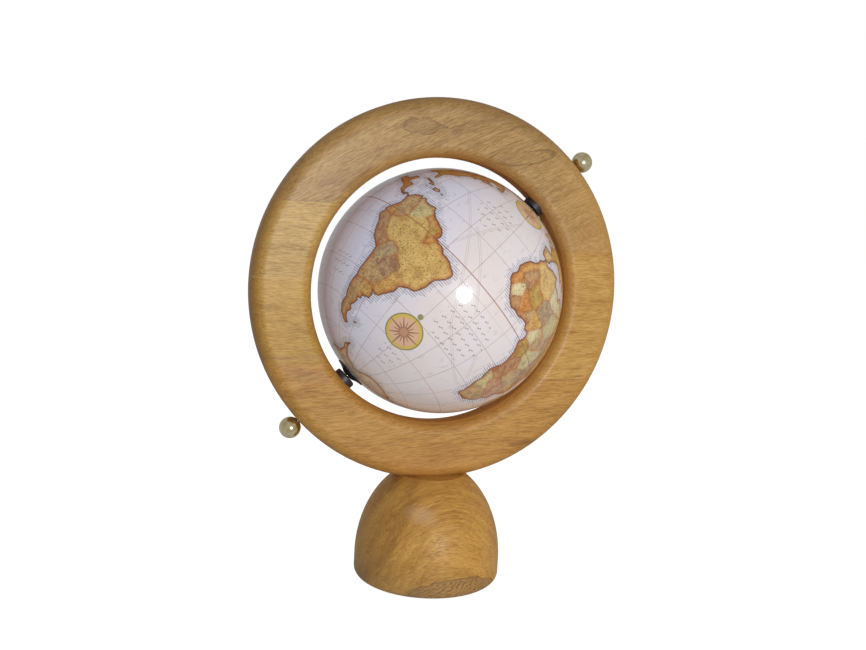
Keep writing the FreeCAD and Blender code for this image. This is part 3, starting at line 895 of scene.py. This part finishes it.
# %% Islands, Australia and Antarctica
COASTS.update({
    "britain": [(-5.6, 50.1), (1.3, 51.2), (1.6, 52.7), (-0.2, 54), (-2, 56), (-2, 57.6), (-4.5, 58.6),
        (-6, 57), (-4.9, 54.8), (-3, 53.5), (-5, 51.6), (-3, 51.3)],
    "ireland": [(-6, 52.2), (-6, 54.5), (-7.5, 55.3), (-10, 54), (-10.2, 51.8)],
    "honshu": [(130, 33.5), (131, 31.2), (135.8, 33.5), (139.8, 35), (141, 36), (142, 39.6), (141, 41.4),
        (139.8, 39.5), (137, 37.3), (133, 35.5)],
    "hokkaido": [(140, 42), (143.2, 42), (145.5, 43.3), (142, 45.5), (141.3, 43.3)],
    "sakhalin": [(142, 46), (143.5, 49), (142.7, 54.3), (142, 50)],
    "taiwan": [(120.2, 23), (121, 22), (121.9, 25), (121, 25)],
    "luzon": [(120.3, 16), (120.6, 18.5), (122.2, 18.4), (121.6, 14.2), (124, 12.7), (120.7, 13.8)],
    "mindanao": [(122, 7), (125.5, 9.8), (126.5, 7.5), (125.5, 5.7), (124, 6.5)],
    "borneo": [(109, 1.5), (111.5, 2.5), (113.5, 3.5), (116.8, 7), (119, 5.2), (117.6, 1), (116.2, -3.9),
        (114, -3.5), (110.2, -2.8), (109, 0)],
    "sumatra": [(95.3, 5.6), (98.5, 3.8), (103, 0.5), (106, -3), (105.8, -5.8), (102.3, -4), (98.7, 1.5)],
    "java": [(105.3, -6.7), (108.5, -6.5), (112.7, -6.9), (114.5, -8.7), (108, -7.8)],
    "sulawesi": [(119.6, -5.5), (119, -2.8), (120, 0.8), (125, 1.5), (120.5, 0.4), (123.3, -1),
        (121.7, -2), (122.8, -4.5), (121, -3), (120.4, -5.5)],
    "new_guinea": [(131, -0.8), (134.2, -0.9), (135, -3.3), (138, -1.6), (141, -2.6), (145.8, -5.4),
        (147.8, -6.2), (150.8, -10.5), (147, -9.5), (143.5, -8.5), (138, -8.3), (138, -5.5), (133, -4),
        (132.8, -2.8)],
    "ceylon": [(80, 9.7), (81.8, 7.5), (80.6, 6), (79.8, 7.5)],
    "cuba": [(-84.9, 21.9), (-82.5, 23.1), (-77, 21.8), (-74.2, 20.2), (-77.7, 19.9), (-78, 21),
        (-82, 22.4)],
    "hispaniola": [(-73.4, 19.9), (-69.9, 19.7), (-68.4, 18.5), (-71.5, 17.7), (-74.4, 18.4),
        (-72.5, 18.7)],
    "jamaica": [(-78.3, 18.4), (-76.3, 18.1), (-77.2, 17.8)],
    "puerto_rico": [(-67.2, 18.4), (-65.7, 18.3), (-66.5, 18)],
    "australia": [(114, -22), (113.5, -26), (115.8, -32), (115, -34.3), (118, -35), (123.5, -34),
        (129, -31.7), (131.5, -31.5), (135.5, -34.8), (137.8, -32.8), (138.3, -35.5), (140.5, -38),
        (144, -38.6), (146.4, -39), (150, -37.4), (151.2, -33.8), (153.2, -30), (153.5, -28),
        (152.9, -25), (149.5, -22.3), (146.5, -19.2), (145.3, -15), (142.5, -10.8), (141.7, -14),
        (140.8, -17.5), (136, -15.5), (136.8, -12.2), (132.7, -11.5), (130.8, -12.4), (129, -15),
        (125.5, -14.3), (122.3, -18), (118.8, -20.2)],
    "tasmania": [(144.8, -41), (148.3, -41), (147.5, -43.4), (146, -43.4)],
    "new_zealand_north": [(172.8, -34.5), (175.5, -37), (178.5, -37.7), (177, -39.6), (175.3, -41.6),
        (173.8, -39.3), (174.7, -37)],
    "new_zealand_south": [(172.8, -40.6), (174.2, -41.7), (171, -45), (168.5, -46.6), (166.5, -45.8),
        (170.5, -43)],
    "newfoundland": [(-59.3, 47.7), (-55.5, 47), (-53, 46.8), (-53.2, 48.5), (-55.5, 51.4),
        (-57.5, 50.3)],
    "baffin": [(-64.5, 62), (-66, 65.5), (-61.5, 66.6), (-68, 70), (-78, 73.5), (-88, 73.6),
        (-84.5, 70.2), (-73, 68.2), (-72.5, 65.5), (-77.8, 64.3), (-70, 62.6)],
    "victoria": [(-117, 70), (-105.5, 69), (-101.5, 70), (-106, 73.3), (-116, 73.2)],
    "ellesmere": [(-88, 76.4), (-80, 76.2), (-76, 78.5), (-62, 82.4), (-80, 83), (-92, 81)],
    "svalbard": [(11, 79.5), (16.5, 76.8), (24, 79.8), (17, 80)],
    "novaya_zemlya": [(52, 71), (57.5, 70.7), (56.5, 73), (69, 76.7), (60, 76), (54, 73.6)],
    "falklands": [(-61, -51.8), (-58, -51.5), (-59.5, -52.3)],
    "antarctica": [(-57, -63.3), (-61, -67), (-60, -73), (-40, -78), (-28, -77), (-20, -73.5), (-10, -71),
        (0, -70), (15, -69.8), (33, -69), (40, -69.5), (50, -66.5), (60, -67.5), (70, -70), (78, -69),
        (88, -66.5), (100, -66), (115, -66.5), (130, -66), (145, -67), (155, -69), (165, -71), (170, -72),
        (165, -77), (175, -78.3), (195, -78.3), (205, -77), (215, -75.5), (230, -74), (245, -74.5),
        (257, -72.5), (265, -72), (282, -73), (292, -70), (295, -66)],
})
print("outlines:", len(COASTS), "corners:", sum(len(points) for points in COASTS.values()))

# %% [markdown]
# The distance from a vertex to a coast is measured along the sphere, to the nearest point of each
# outline's arcs. Whether the vertex is on land comes from the outline's winding: seen from a point
# inside it, the corners go once round. Both are worked out for all vertices at once with numpy.

# %% Distance to the coast


def arc_distance(points, a, b):
    """Angle from each point to the arc from a to b."""
    pole = np.cross(a, b)
    pole = pole / np.linalg.norm(pole)
    beside = (points @ np.cross(pole, a) >= 0) & (points @ np.cross(b, pole) >= 0)
    off_plane = np.abs(np.arcsin(np.clip(points @ pole, -1, 1)))
    to_end = np.arccos(np.clip(np.maximum(points @ a, points @ b), -1, 1))
    return np.where(beside, off_plane, to_end)


def survey(points, outlines):
    """Angle to the nearest outline, and whether each point lies inside one of them."""
    nearest = np.full(len(points), math.pi)
    inside = np.zeros(len(points), bool)
    for outline in outlines:
        corners = on_sphere(*np.array(outline, float).T)
        middle = corners.mean(0)
        turned = np.zeros(len(points))
        for a, b in zip(corners, np.roll(corners, -1, 0)):
            nearest = np.minimum(nearest, arc_distance(points, a, b))
            to_a, to_b = points @ a, points @ b
            turned += np.arctan2(points @ np.cross(a, b), a @ b - to_a * to_b)
        inside |= (np.abs(turned) > math.pi) & (points @ middle > 0)
    return nearest, inside


print("distance functions ready")

# %% [markdown]
# The map's lands are tinted like an old atlas, in ochre, olive, mauve and brown. A few seeds place
# the tints of the lands that show in the usual view, and the rest of the world takes its seeds from
# an even spiral of points. The sphere is divided between the seeds, after a gentle warp that makes
# the borders wander.

# %% Tints of the lands
TINTS = {
    "gold": (206, 158, 80), "ochre": (190, 138, 70), "red": (164, 100, 66), "green": (198, 190, 138),
    "grey": (160, 138, 110), "tan": (186, 150, 104), "pink": (186, 126, 98), "cream": (224, 184, 108),
    "mauve": (166, 114, 84), "olive": (172, 134, 40), "orange": (198, 124, 46), "pale": (222, 214, 170),
    "dusk": (150, 110, 90), "sand": (180, 140, 92), "straw": (208, 170, 94),
}
SEEDS = {
    "straw": [(-63, -2.1), (-59.3, -8.9), (-58.6, 0.2), (-48.8, -9.6), (-49, -15.9), (-46.2, -5.8),
              (-50.1, -21.6), (-37.7, -7.8), (-69, -6.9), (-42.9, -15.4), (-53, -14)],
    "mauve": [(-75.7, -7.6), (-73.4, -12.6), (-10.9, 19.8), (-8.1, 6.4)],
    "ochre": [(-78.6, -1.1), (-56.7, 4)],
    "tan": [(-73.1, 5.1), (-67.4, -28.4), (-62.6, -30.2), (0, 8.7), (27.8, -13.5), (20.5, 7.8)],
    "green": [(-65.6, 8.6), (21.2, 17), (24, -0.5), (15.8, -21.9)],
    "olive": [(-53.9, 3.1), (-3, 19), (12.6, -1.1)],
    "grey": [(-66.2, -16.7), (9.6, 18.5)],
    "dusk": [(-60.7, -22.3), (35.4, -2.9), (33.7, 13)],
    "sand": [(-69.5, -37.4), (-69.5, -44.3), (21.5, -31.4)],
    "gold": [(-52.1, -26.7), (-55.5, -31.9), (-15.8, 22.3), (7.8, 10.1), (-61, -37)],
    "orange": [(-48.6, -0.2), (-16.4, 13.1), (-4.2, 11.8)],
    "cream": [(0, 29.7)],
    "pale": [(-11.9, 9.7), (15.3, 30), (11.9, 6.4)],
    "red": [(17.2, -13), (17, -8.3)],
    "pink": [(26.7, -17.3)],
}
SPIRAL_SEEDS = 150
SPIRAL_GAP = math.radians(13)
ICE = colour(222, 214, 206)[:3]
ICE_LATITUDE = -62.0
GOLDEN_ANGLE = math.pi * (3 - math.sqrt(5))


def all_seeds():
    """Directions and tint numbers of every seed: the named ones, then a spiral where none is near."""
    names = list(TINTS)
    spots = [on_sphere(lon, lat) for places in SEEDS.values() for lon, lat in places]
    tints = [names.index(name) for name, places in SEEDS.items() for _ in places]
    placed = np.array(spots)
    for k in range(SPIRAL_SEEDS):
        height = 1 - (2 * k + 1) / SPIRAL_SEEDS
        here = on_sphere(math.degrees(k * GOLDEN_ANGLE), math.degrees(math.asin(height)))
        if (placed @ here).max() < math.cos(SPIRAL_GAP):
            spots.append(here)
            tints.append(k * 4 % len(names))
    return np.array(spots, np.float32), np.array(tints)


def warped(points, size=0.028, waves=9.0):
    """Points moved a little by crossed sine waves, so that straight borders wander."""
    moved = points.copy()
    for k, share in ((1, 1.0), (2, 0.5), (4, 0.25)):
        turn = np.roll(points, 1, 1) * waves * k + np.roll(points, 2, 1) * waves * k * 0.7 + k
        moved += size * share * np.sin(turn)
    return moved / np.linalg.norm(moved, axis=1, keepdims=True)


def tint_map(points):
    """Colour of the nearest seed, and the angle to the border with the next one of another tint."""
    spots, tints = all_seeds()
    closeness = warped(points).astype(np.float32) @ spots.T
    own = closeness.argmax(1)
    best = closeness.max(1)
    closeness[tints[own][:, None] == tints[None, :]] = -1
    other = closeness.argmax(1)
    gap = np.linalg.norm(spots[own] - spots[other], axis=1)
    palette = np.array([colour(*tint)[:3] for tint in TINTS.values()])
    return palette[tints[own]], (best - closeness.max(1)) / gap


print("seeds:", len(all_seeds()[0]))

# %% [markdown]
# Geometry Nodes make the ball itself: an icosphere has even triangles, with none of the thin ones
# that a globe of rings has at its poles. It is cut at the equator and at the pole holes, as the real
# paper is, and a thin inner face closes each half.

# %% The printed halves
PAPER_THICK = 0.4 * MM
POLE_HOLE_R = 3.95 * MM
FINE = 8
INNER_RINGS = 9


def ball_mesh(name):
    tree = GeometryTree(name, Radius=("FLOAT", GLOBE_R), Fineness=("INT", FINE),
                        Centre=("VECTOR", GLOBE_CENTRE), Material=("MATERIAL", None))
    given = tree.given
    ball = tree.node("GeometryNodeMeshIcoSphere", {}, {
        "Radius": given["Radius"], "Subdivisions": given["Fineness"]})
    placed = tree.node("GeometryNodeTransform", {}, {"Geometry": ball, "Translation": given["Centre"]})
    return tree.mesh(name, placed)


def cut_half(ball, name, pole):
    """The half of the ball towards a pole, with the pole's hole and a closed inner face."""
    bm = bmesh.new()
    bm.from_mesh(ball.data)
    whole = bm.verts[:] + bm.edges[:] + bm.faces[:]
    bmesh.ops.bisect_plane(bm, geom=whole, plane_co=GLOBE_CENTRE, plane_no=pole, clear_inner=True)
    hole_height = math.sqrt(GLOBE_R ** 2 - POLE_HOLE_R ** 2)
    whole = bm.verts[:] + bm.edges[:] + bm.faces[:]
    bmesh.ops.bisect_plane(bm, geom=whole, plane_co=GLOBE_CENTRE + pole * hole_height, plane_no=pole,
                           clear_outer=True)
    rims = [edge for edge in bm.edges if edge.is_boundary]
    equator = [e for e in rims if (e.verts[0].co - GLOBE_CENTRE).dot(pole) < GLOBE_R / 2]
    hole = [e for e in rims if (e.verts[0].co - GLOBE_CENTRE).dot(pole) > GLOBE_R / 2]
    inner_r = GLOBE_R - PAPER_THICK
    last = math.asin(POLE_HOLE_R / inner_r)
    ring = equator
    for k in range(INNER_RINGS + 1):
        rise = (math.pi / 2 - last) * k / INNER_RINGS
        made = bmesh.ops.extrude_edge_only(bm, edges=ring)["geom"]
        for vertex in (g for g in made if isinstance(g, bmesh.types.BMVert)):
            flat = vertex.co - GLOBE_CENTRE
            flat = (flat - pole * flat.dot(pole)).normalized()
            vertex.co = GLOBE_CENTRE + (flat * math.cos(rise) + pole * math.sin(rise)) * inner_r
        ring = [g for g in made if isinstance(g, bmesh.types.BMEdge) and g.is_boundary]
    bmesh.ops.bridge_loops(bm, edges=ring + hole)
    bmesh.ops.recalc_face_normals(bm, faces=bm.faces[:])
    bmesh.ops.triangulate(bm, faces=[f for f in bm.faces if len(f.verts) > 3])
    mesh = bpy.data.meshes.new(name)
    bm.to_mesh(mesh)
    bm.free()
    mesh.shade_smooth()
    return new_piece(name, mesh)


def vertex_array(mesh):
    flat = np.zeros(len(mesh.vertices) * 3)
    mesh.vertices.foreach_get("co", flat)
    return flat.reshape(-1, 3)


ball = ball_mesh("printed_ball")
halves = {side: cut_half(ball, "printed_map_" + side, ROD_DIRECTION * sign)
          for side, sign in (("north", 1), ("south", -1))}
bpy.data.objects.remove(ball)
for side, half in halves.items():
    check = bmesh.new()
    check.from_mesh(half.data)
    open_edges = sum(1 for edge in check.edges if not edge.is_manifold)
    check.free()
    print(side, len(half.data.polygons), "faces,", open_edges, "open edges")

# %% [markdown]
# Every vertex now gets its place on the map, its distances to the coast and to a border, and its
# tint. They are ordinary mesh attributes, so they spin with the globe. The ice of the far south is
# pale and has no borders.

# %% Write the map on the vertices
DEGREE = GLOBE_R / MM * math.pi / 180          # millimetres of a degree along the sphere


def write_map(half):
    mesh = half.data
    outward = vertex_array(mesh) - np.array(GLOBE_CENTRE)
    outward /= np.linalg.norm(outward, axis=1, keepdims=True)
    printed = outward @ MAP_AXES.T
    to_coast, on_land = survey(printed, COASTS.values())
    to_water, in_water = survey(printed, WATERS.values())
    on_land &= ~in_water
    coast = np.minimum(to_coast, to_water) * np.where(on_land, 1, -1)
    tints, border = tint_map(printed)
    frozen = printed[:, 2] < math.sin(math.radians(ICE_LATITUDE))
    tints[frozen] = ICE
    border[frozen] = 1.0
    for name, kind, values in (("map_place", "FLOAT_VECTOR", printed), ("map_coast", "FLOAT", coast),
                               ("map_border", "FLOAT", border), ("map_tint", "FLOAT_VECTOR", tints)):
        if kind == "FLOAT":
            values = values * GLOBE_R / MM
        attribute = mesh.attributes.new(name, kind, "POINT")
        attribute.data.foreach_set("vector" if kind == "FLOAT_VECTOR" else "value",
                                   values.astype(np.float32).ravel())
    return on_land.mean()


for side, half in halves.items():
    print(side, "half:", round(100 * write_map(half)), "% of the vertices on land")

# %% [markdown]
# ## The map's ink
# The print is drawn in the order of a printer's plates: paper, sea tint, hatching along the coasts,
# wave signs, graticule, routes and roses, then the tinted lands, their borders, the brown edge and
# the coast itself. All widths are millimetres on the ball. The old sailing routes are great circles,
# so each one is the distance to a plane through the ball's centre. Rows of small wave signs stand
# where an old map has its lettering.

# %% Compass roses and routes
# Places are (longitude, latitude) in degrees, and a wave field has its radius in millimetres too.
ROSES = [(-31.0, -37.9), (-29.9, 52.2), (-135.0, -12.0), (80.0, -28.0), (-150.0, 38.0)]
ROSE_R = 10.8
ROSE_FIELD_R = 8.7
ROSE_HUB_R = 2.6
ROSE_RAYS = [(90, 0, 10.4, 1.1), (90, 45, 8.6, 0.95), (45, 22.5, 6.4, 0.7)]  # step, turn, reach, width
POINTER_UP, POINTER_R = 13.2, 1.7      # the small ball outside the rim
ROUTES = [
    [(-61.8, 30.2), (-44.6, 14.1), (-36.7, 3.7)], [(-43.2, 17.2), (-32.7, 8.3), (-15.7, -10.1)],
    [(-45, 3.7), (-29.1, 38.3)], [(1.8, -20.8), (10, -28.3)], [(-0.9, -30.5), (10.8, -33.4), (14.3, -32.8)],
    [(-36.7, 3.7), (-20, -20), (-0.9, -30.5)], [(-80, -5), (-120, -12), (-160, -5)],
    [(60, -10), (75, -25), (110, -32)], [(-125, 38), (-158, 22), (150, 25)],
]
WAVE_FIELDS = [(-13.3, -19.0, 17.0), (-41.2, 29.0, 12.0), (-86.8, -31.8, 9.0), (-26.0, -52.0, 8.0),
               (-150.0, 5.0, 20.0), (75.0, -18.0, 16.0), (-120.0, -40.0, 14.0), (165.0, 35.0, 15.0)]
WAVE_ROWS = 5.4
WAVE_STEP = 4.3
ROUTE_HALF = 0.55                      # half the gap of a route's double line


def ink_line(distance, width, soft=0.35):
    """1 on a line of that width, 0 beside it."""
    return distance.under(width / 2, soft)


def wave_marks(finish, place, latitude, longitude, flat):
    """Rows of small wave signs, in a few round fields at sea."""
    swell = latitude.math("WRAP", latitude * DEGREE, WAVE_ROWS / 2, -WAVE_ROWS / 2)
    step = longitude.math("WRAP", longitude * flat * DEGREE, WAVE_STEP / 2, -WAVE_STEP / 2)
    crest = (swell - step.math("SINE", step * 2.6) * 0.5).abs()
    field = None
    for lon, lat, radius in WAVE_FIELDS:
        edge = math.cos(radius * MM / GLOBE_R)
        one = finish.dot(place, tuple(on_sphere(lon, lat))).over(edge, 0.002)
        field = one if field is None else field.most(one)
    return ink_line(crest, 0.55, 0.4) * step.abs().under(1.2, 0.3) * field


def route_ink(finish, place):
    """All routes as one mask."""
    ink = None
    for route in ROUTES:
        spots = on_sphere(*np.array(route, float).T)
        for a, b in zip(spots, spots[1:]):
            pole = np.cross(a, b)
            pole = pole / np.linalg.norm(pole)
            middle = (a + b) / np.linalg.norm(a + b)
            away = (finish.dot(place, tuple(pole)) * (GLOBE_R / MM)).abs()
            reach = finish.dot(place, tuple(middle)).over(float(middle @ a), 0.002)
            one = ink_line((away - ROUTE_HALF).abs(), 0.22, 0.3) * reach
            ink = one if ink is None else ink.most(one)
    return ink


def rose(finish, place, body, lon, lat):
    """A compass rose: rim, field, sixteen rays, a hub and the ball that points north."""
    centre, north = on_sphere(lon, lat), on_sphere(lon, lat + 90)
    east = np.cross(north, centre)
    scale = GLOBE_R / MM
    front = finish.dot(place, tuple(centre)).over(0.9, 0.02)
    across = finish.dot(place, tuple(east)) * scale
    up = finish.dot(place, tuple(north)) * scale
    radius = (across * across + up * up).root()
    angle = across.math("ARCTAN2", across, up) * (180 / math.pi)
    body = finish.layers(
        body,
        (radius.under(ROSE_R, 0.4), front, (206, 178, 88)),
        (radius.under(ROSE_FIELD_R, 0.4), front, (216, 172, 142)),
        (ink_line((radius - ROSE_R).abs(), 0.7), front, (134, 124, 66)))
    for step, turn, reach, wide in ROSE_RAYS:
        sweep = (angle - turn).near(step) * (math.pi / 180) * radius
        taper = 1 - radius / (reach * 1.15)
        ray = (sweep - taper * wide * 0.6).under(0.12, 0.3)
        ray = ray * radius.under(reach, 0.5) * radius.over(2.4, 0.4)
        body = finish.layers(body, (ray * front, 0.8, (126, 84, 54)))
    ball_up = up - POINTER_UP
    pointer = (across * across + ball_up * ball_up).root()
    return finish.layers(
        body,
        (radius.under(ROSE_HUB_R, 0.4), front, (188, 140, 108)),
        (ink_line((radius - ROSE_HUB_R).abs(), 0.4) * front, 0.6, (150, 100, 72)),
        (pointer.under(POINTER_R, 0.5), front, (142, 142, 92)))


print(len(ROSES), "roses,", len(ROUTES), "routes")

# %% [markdown]
# The plates come together in one material. The sea and the land are each built up from their paper
# tint to their finest lines, the coast's distance chooses between them, and the shoreline and the
# equator are inked over both. Varnish over pasted paper is the shader's coat, and the bump is the
# paper's slight cockle and the relief pressed into the land.

# %% The printed map
GRATICULE_STEP = 15                            # degrees
HATCH_GAP = 1.3                                # millimetres between the hatching's lines


def map_fields(finish):
    """The fields that both inks need, by name. The coast's own small bays are added here."""
    def stored(name, output):
        return finish.node("ShaderNodeAttribute", {"attribute_name": name}, {}, output)
    place = stored("map_place", "Vector")
    here = finish.vector("SCALE", place, Scale=GLOBE_R / MM)
    bays = finish.noise(here, (3.2,) * 3, detail=3.0, roughness=0.6) - 0.5
    x, y, z = finish.parts(place)
    latitude = z.math("ARCSINE", z) * (180 / math.pi)
    longitude = y.math("ARCTAN2", y, x) * (180 / math.pi)
    flat = (1 - z * z).root()
    parallels = ink_line((latitude * DEGREE).near(GRATICULE_STEP * DEGREE), 0.3)
    meridians = ink_line(longitude.near(GRATICULE_STEP) * flat * DEGREE, 0.3)
    return SimpleNamespace(
        place=place, here=here, bays=bays, latitude=latitude, longitude=longitude, flat=flat,
        grid=parallels.most(meridians), coast=stored("map_coast", "Fac") + bays * 1.5,
        border=stored("map_border", "Fac"), tint=stored("map_tint", "Vector"),
        relief=finish.noise(here, (4.2,) * 3, detail=4.0, roughness=0.65))


def sea_colour(finish, at):
    """Paper tint, a lavender tint over the western sea painted in place of cool light on the globe's left,
    glow and hatching along the coasts, smudges, wave signs, graticule, routes, roses.
    """
    cloud = finish.noise(at.here, (26.0,) * 3, detail=3.0)
    ripple = finish.noise(at.here, (2.4,) * 3, detail=1.0)
    west_painted_cool_light = finish.dot(at.place, tuple(on_sphere(-125.0, -10.0))).over(0.28, 0.6)
    comb = ink_line((at.latitude * DEGREE).near(HATCH_GAP), 0.5, 0.45)
    hatched = (at.coast + ripple * 8.5).over(1.0, 1.2) * at.coast.under(0, 0.3)
    smudge = finish.noise(at.here, (6.0, 2.2, 6.0), detail=3.0).over(0.66, 0.12) * (1 - hatched)
    marks = wave_marks(finish, at.place, at.latitude, at.longitude, at.flat) * at.coast.under(-3.5, 1)
    sea = finish.layers(
        finish.mix(cloud.over(0.5, 0.4), colour(223, 215, 219), colour(223, 211, 206)),
        # Painted light: a lavender tint over the western sea stands in for cool light on the globe's left.
        (west_painted_cool_light, 0.8, (218, 220, 246)),
        (at.coast.over(-4.5, 3.5), 0.4, (222, 220, 232)),
        (comb * hatched, 0.7, (104, 94, 100)),
        (smudge, 0.22, (140, 126, 140)),
        (marks, 0.75, (92, 80, 84)),
        (at.grid, 0.65, (138, 118, 114)),
        (route_ink(finish, at.place), 0.5, (146, 118, 98)))
    for lon, lat in ROSES:
        sea = rose(finish, at.place, sea, lon, lat)
    return sea


def land_colour(finish, at):
    """Tints with relief, hachures and graticule, washed borders and a brown edge along the shore."""
    hachure = finish.noise(at.here, (1.5, 0.7, 0.7), detail=1.0)
    wash = finish.noise(at.here, (9.0,) * 3, detail=1.0).over(0.46, 0.12)
    lines = (at.border + at.bays * 1.6).abs()
    shore = (1 - at.coast / 2.7).most(0.0)
    return finish.layers(
        finish.mix(0.12, at.tint, colour(206, 154, 82)),
        (at.relief.over(0.53, 0.2), 0.35, (232, 202, 130)),
        (at.relief.under(0.42, 0.2), 0.4, (132, 88, 46)),
        (hachure.over(0.61, 0.06), 0.6, (92, 66, 38)),
        (at.grid, 0.3, (112, 80, 56)),
        (lines.under(1.1, 1.9) * wash, 0.5, (180, 102, 32)),
        (lines.under(0.22, 0.4), 0.55, (108, 66, 36)),
        (shore, 0.9, (170, 84, 26)))


def map_finish():
    finish = Finish("map", Coat_Roughness=0.08, Coat_IOR=1.5, Specular_IOR_Level=0.3, Coat_Weight=1.0)
    at = map_fields(finish)
    body = finish.layers(
        finish.mix(at.coast.over(0.0, 0.3), sea_colour(finish, at), land_colour(finish, at)),
        (ink_line((at.coast - 0.1).abs(), 0.75, 0.5), 0.9, (92, 52, 28)),
        (ink_line(at.latitude.abs() * DEGREE, 0.55), 0.8, (140, 88, 64)))
    speck = finish.noise(at.here, (1.1,) * 3, detail=2.0)
    cockle = finish.noise(at.here, (7.0,) * 3, detail=2.0)
    ridge = at.relief.over(0.60, 0.12) * at.coast.over(1.0, 1.5)
    finish.bump(cockle * 0.4 + ridge, 0.18, 0.6)
    return finish.set(Base_Color=body, Roughness=0.4 + (speck - 0.5) * 0.1)


printed_map = map_finish()
for side, half in halves.items():
    half.data.materials.clear()
    half.data.materials.append(printed_map)
    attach(half, "globe")
    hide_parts("globe_map_" + side)
print("map nodes:", len(printed_map.node_tree.nodes))

# %% [markdown]
# ## Floor and light
# The stage is a pale floor and a white surround. Both are hidden from the rays that light the object,
# so they stay plain and throw no light back on the wood.

# %% Stage
FLOOR_R = 6.0
FLOOR_DROP = 0.1 * MM


def stage_material(name, base, glow):
    finish = Finish(name, Roughness=0.9, Specular_IOR_Level=0.0)
    finish.shader.inputs["Emission Color"].default_value = (1, 1, 1, 1)
    finish.shader.inputs["Emission Strength"].default_value = glow
    finish.shader.inputs["Base Color"].default_value = (base, base, base, 1)
    return finish.material


def stage_disc():
    bm = bmesh.new()
    bmesh.ops.create_circle(bm, cap_ends=True, segments=96, radius=FLOOR_R,
                            matrix=Matrix.Translation((0, 0, -FLOOR_DROP)))
    mesh = bpy.data.meshes.new("floor")
    bm.to_mesh(mesh)
    bm.free()
    mesh.materials.append(stage_material("floor", 0.25, 0.93))
    return new_piece("floor", mesh)


def stage_dome():
    bm = bmesh.new()
    bmesh.ops.create_uvsphere(bm, u_segments=48, v_segments=24, radius=FLOOR_R * 1.2)
    bmesh.ops.reverse_faces(bm, faces=bm.faces[:])
    mesh = bpy.data.meshes.new("backdrop")
    bm.to_mesh(mesh)
    bm.free()
    mesh.materials.append(stage_material("backdrop", 0.0, 1.0))
    return new_piece("backdrop", mesh)


floor, backdrop = stage_disc(), stage_dome()
for thing in (floor, backdrop):
    thing.visible_diffuse = False
    thing.visible_glossy = False
    thing.visible_shadow = False
backdrop.visible_transmission = False
bpy.context.scene.view_settings.view_transform = "Standard"
print("stage ready")

# %% [markdown]
# The main light is a round soft box near the camera, which lights the ring's face evenly and makes
# the round highlight on the varnish. The world fills the shadows, a weak light stands at the right,
# and one stands behind, so that the back is as easy to look at as the front. The last two make no
# reflections, because a varnished ball has only the main one.

# %% Lights
WORLD_LEVEL = 0.392


def soft_light(name, turn_left, rise, distance, size, watts):
    """A round soft box that faces the ball. The turn and the rise are in degrees."""
    light = bpy.data.objects.new(name, bpy.data.lights.new(name, "AREA"))
    bpy.context.scene.collection.objects.link(light)
    light.data.shape = "DISK"
    light.data.size = size
    light.data.energy = watts
    place = GLOBE_CENTRE + toward(math.radians(turn_left), math.radians(rise)) * distance
    look_from(light, place, GLOBE_CENTRE)
    return light


key = soft_light("key_light", -3, 3, 1.4, 0.33, 12.0)
side_light = soft_light("side_light", -84, 12, 1.6, 1.1, 4.0)
side_light.visible_glossy = False
back_light = soft_light("back_light", 160, 28, 1.7, 0.8, 8.0)
back_light.visible_glossy = False
world = bpy.data.worlds.new("studio")
bpy.context.scene.world = world
world.use_nodes = True
world.node_tree.nodes["Background"].inputs["Color"].default_value = (1, 1, 1, 1)
world.node_tree.nodes["Background"].inputs["Strength"].default_value = WORLD_LEVEL
print("lights:", key.name, side_light.name, back_light.name)
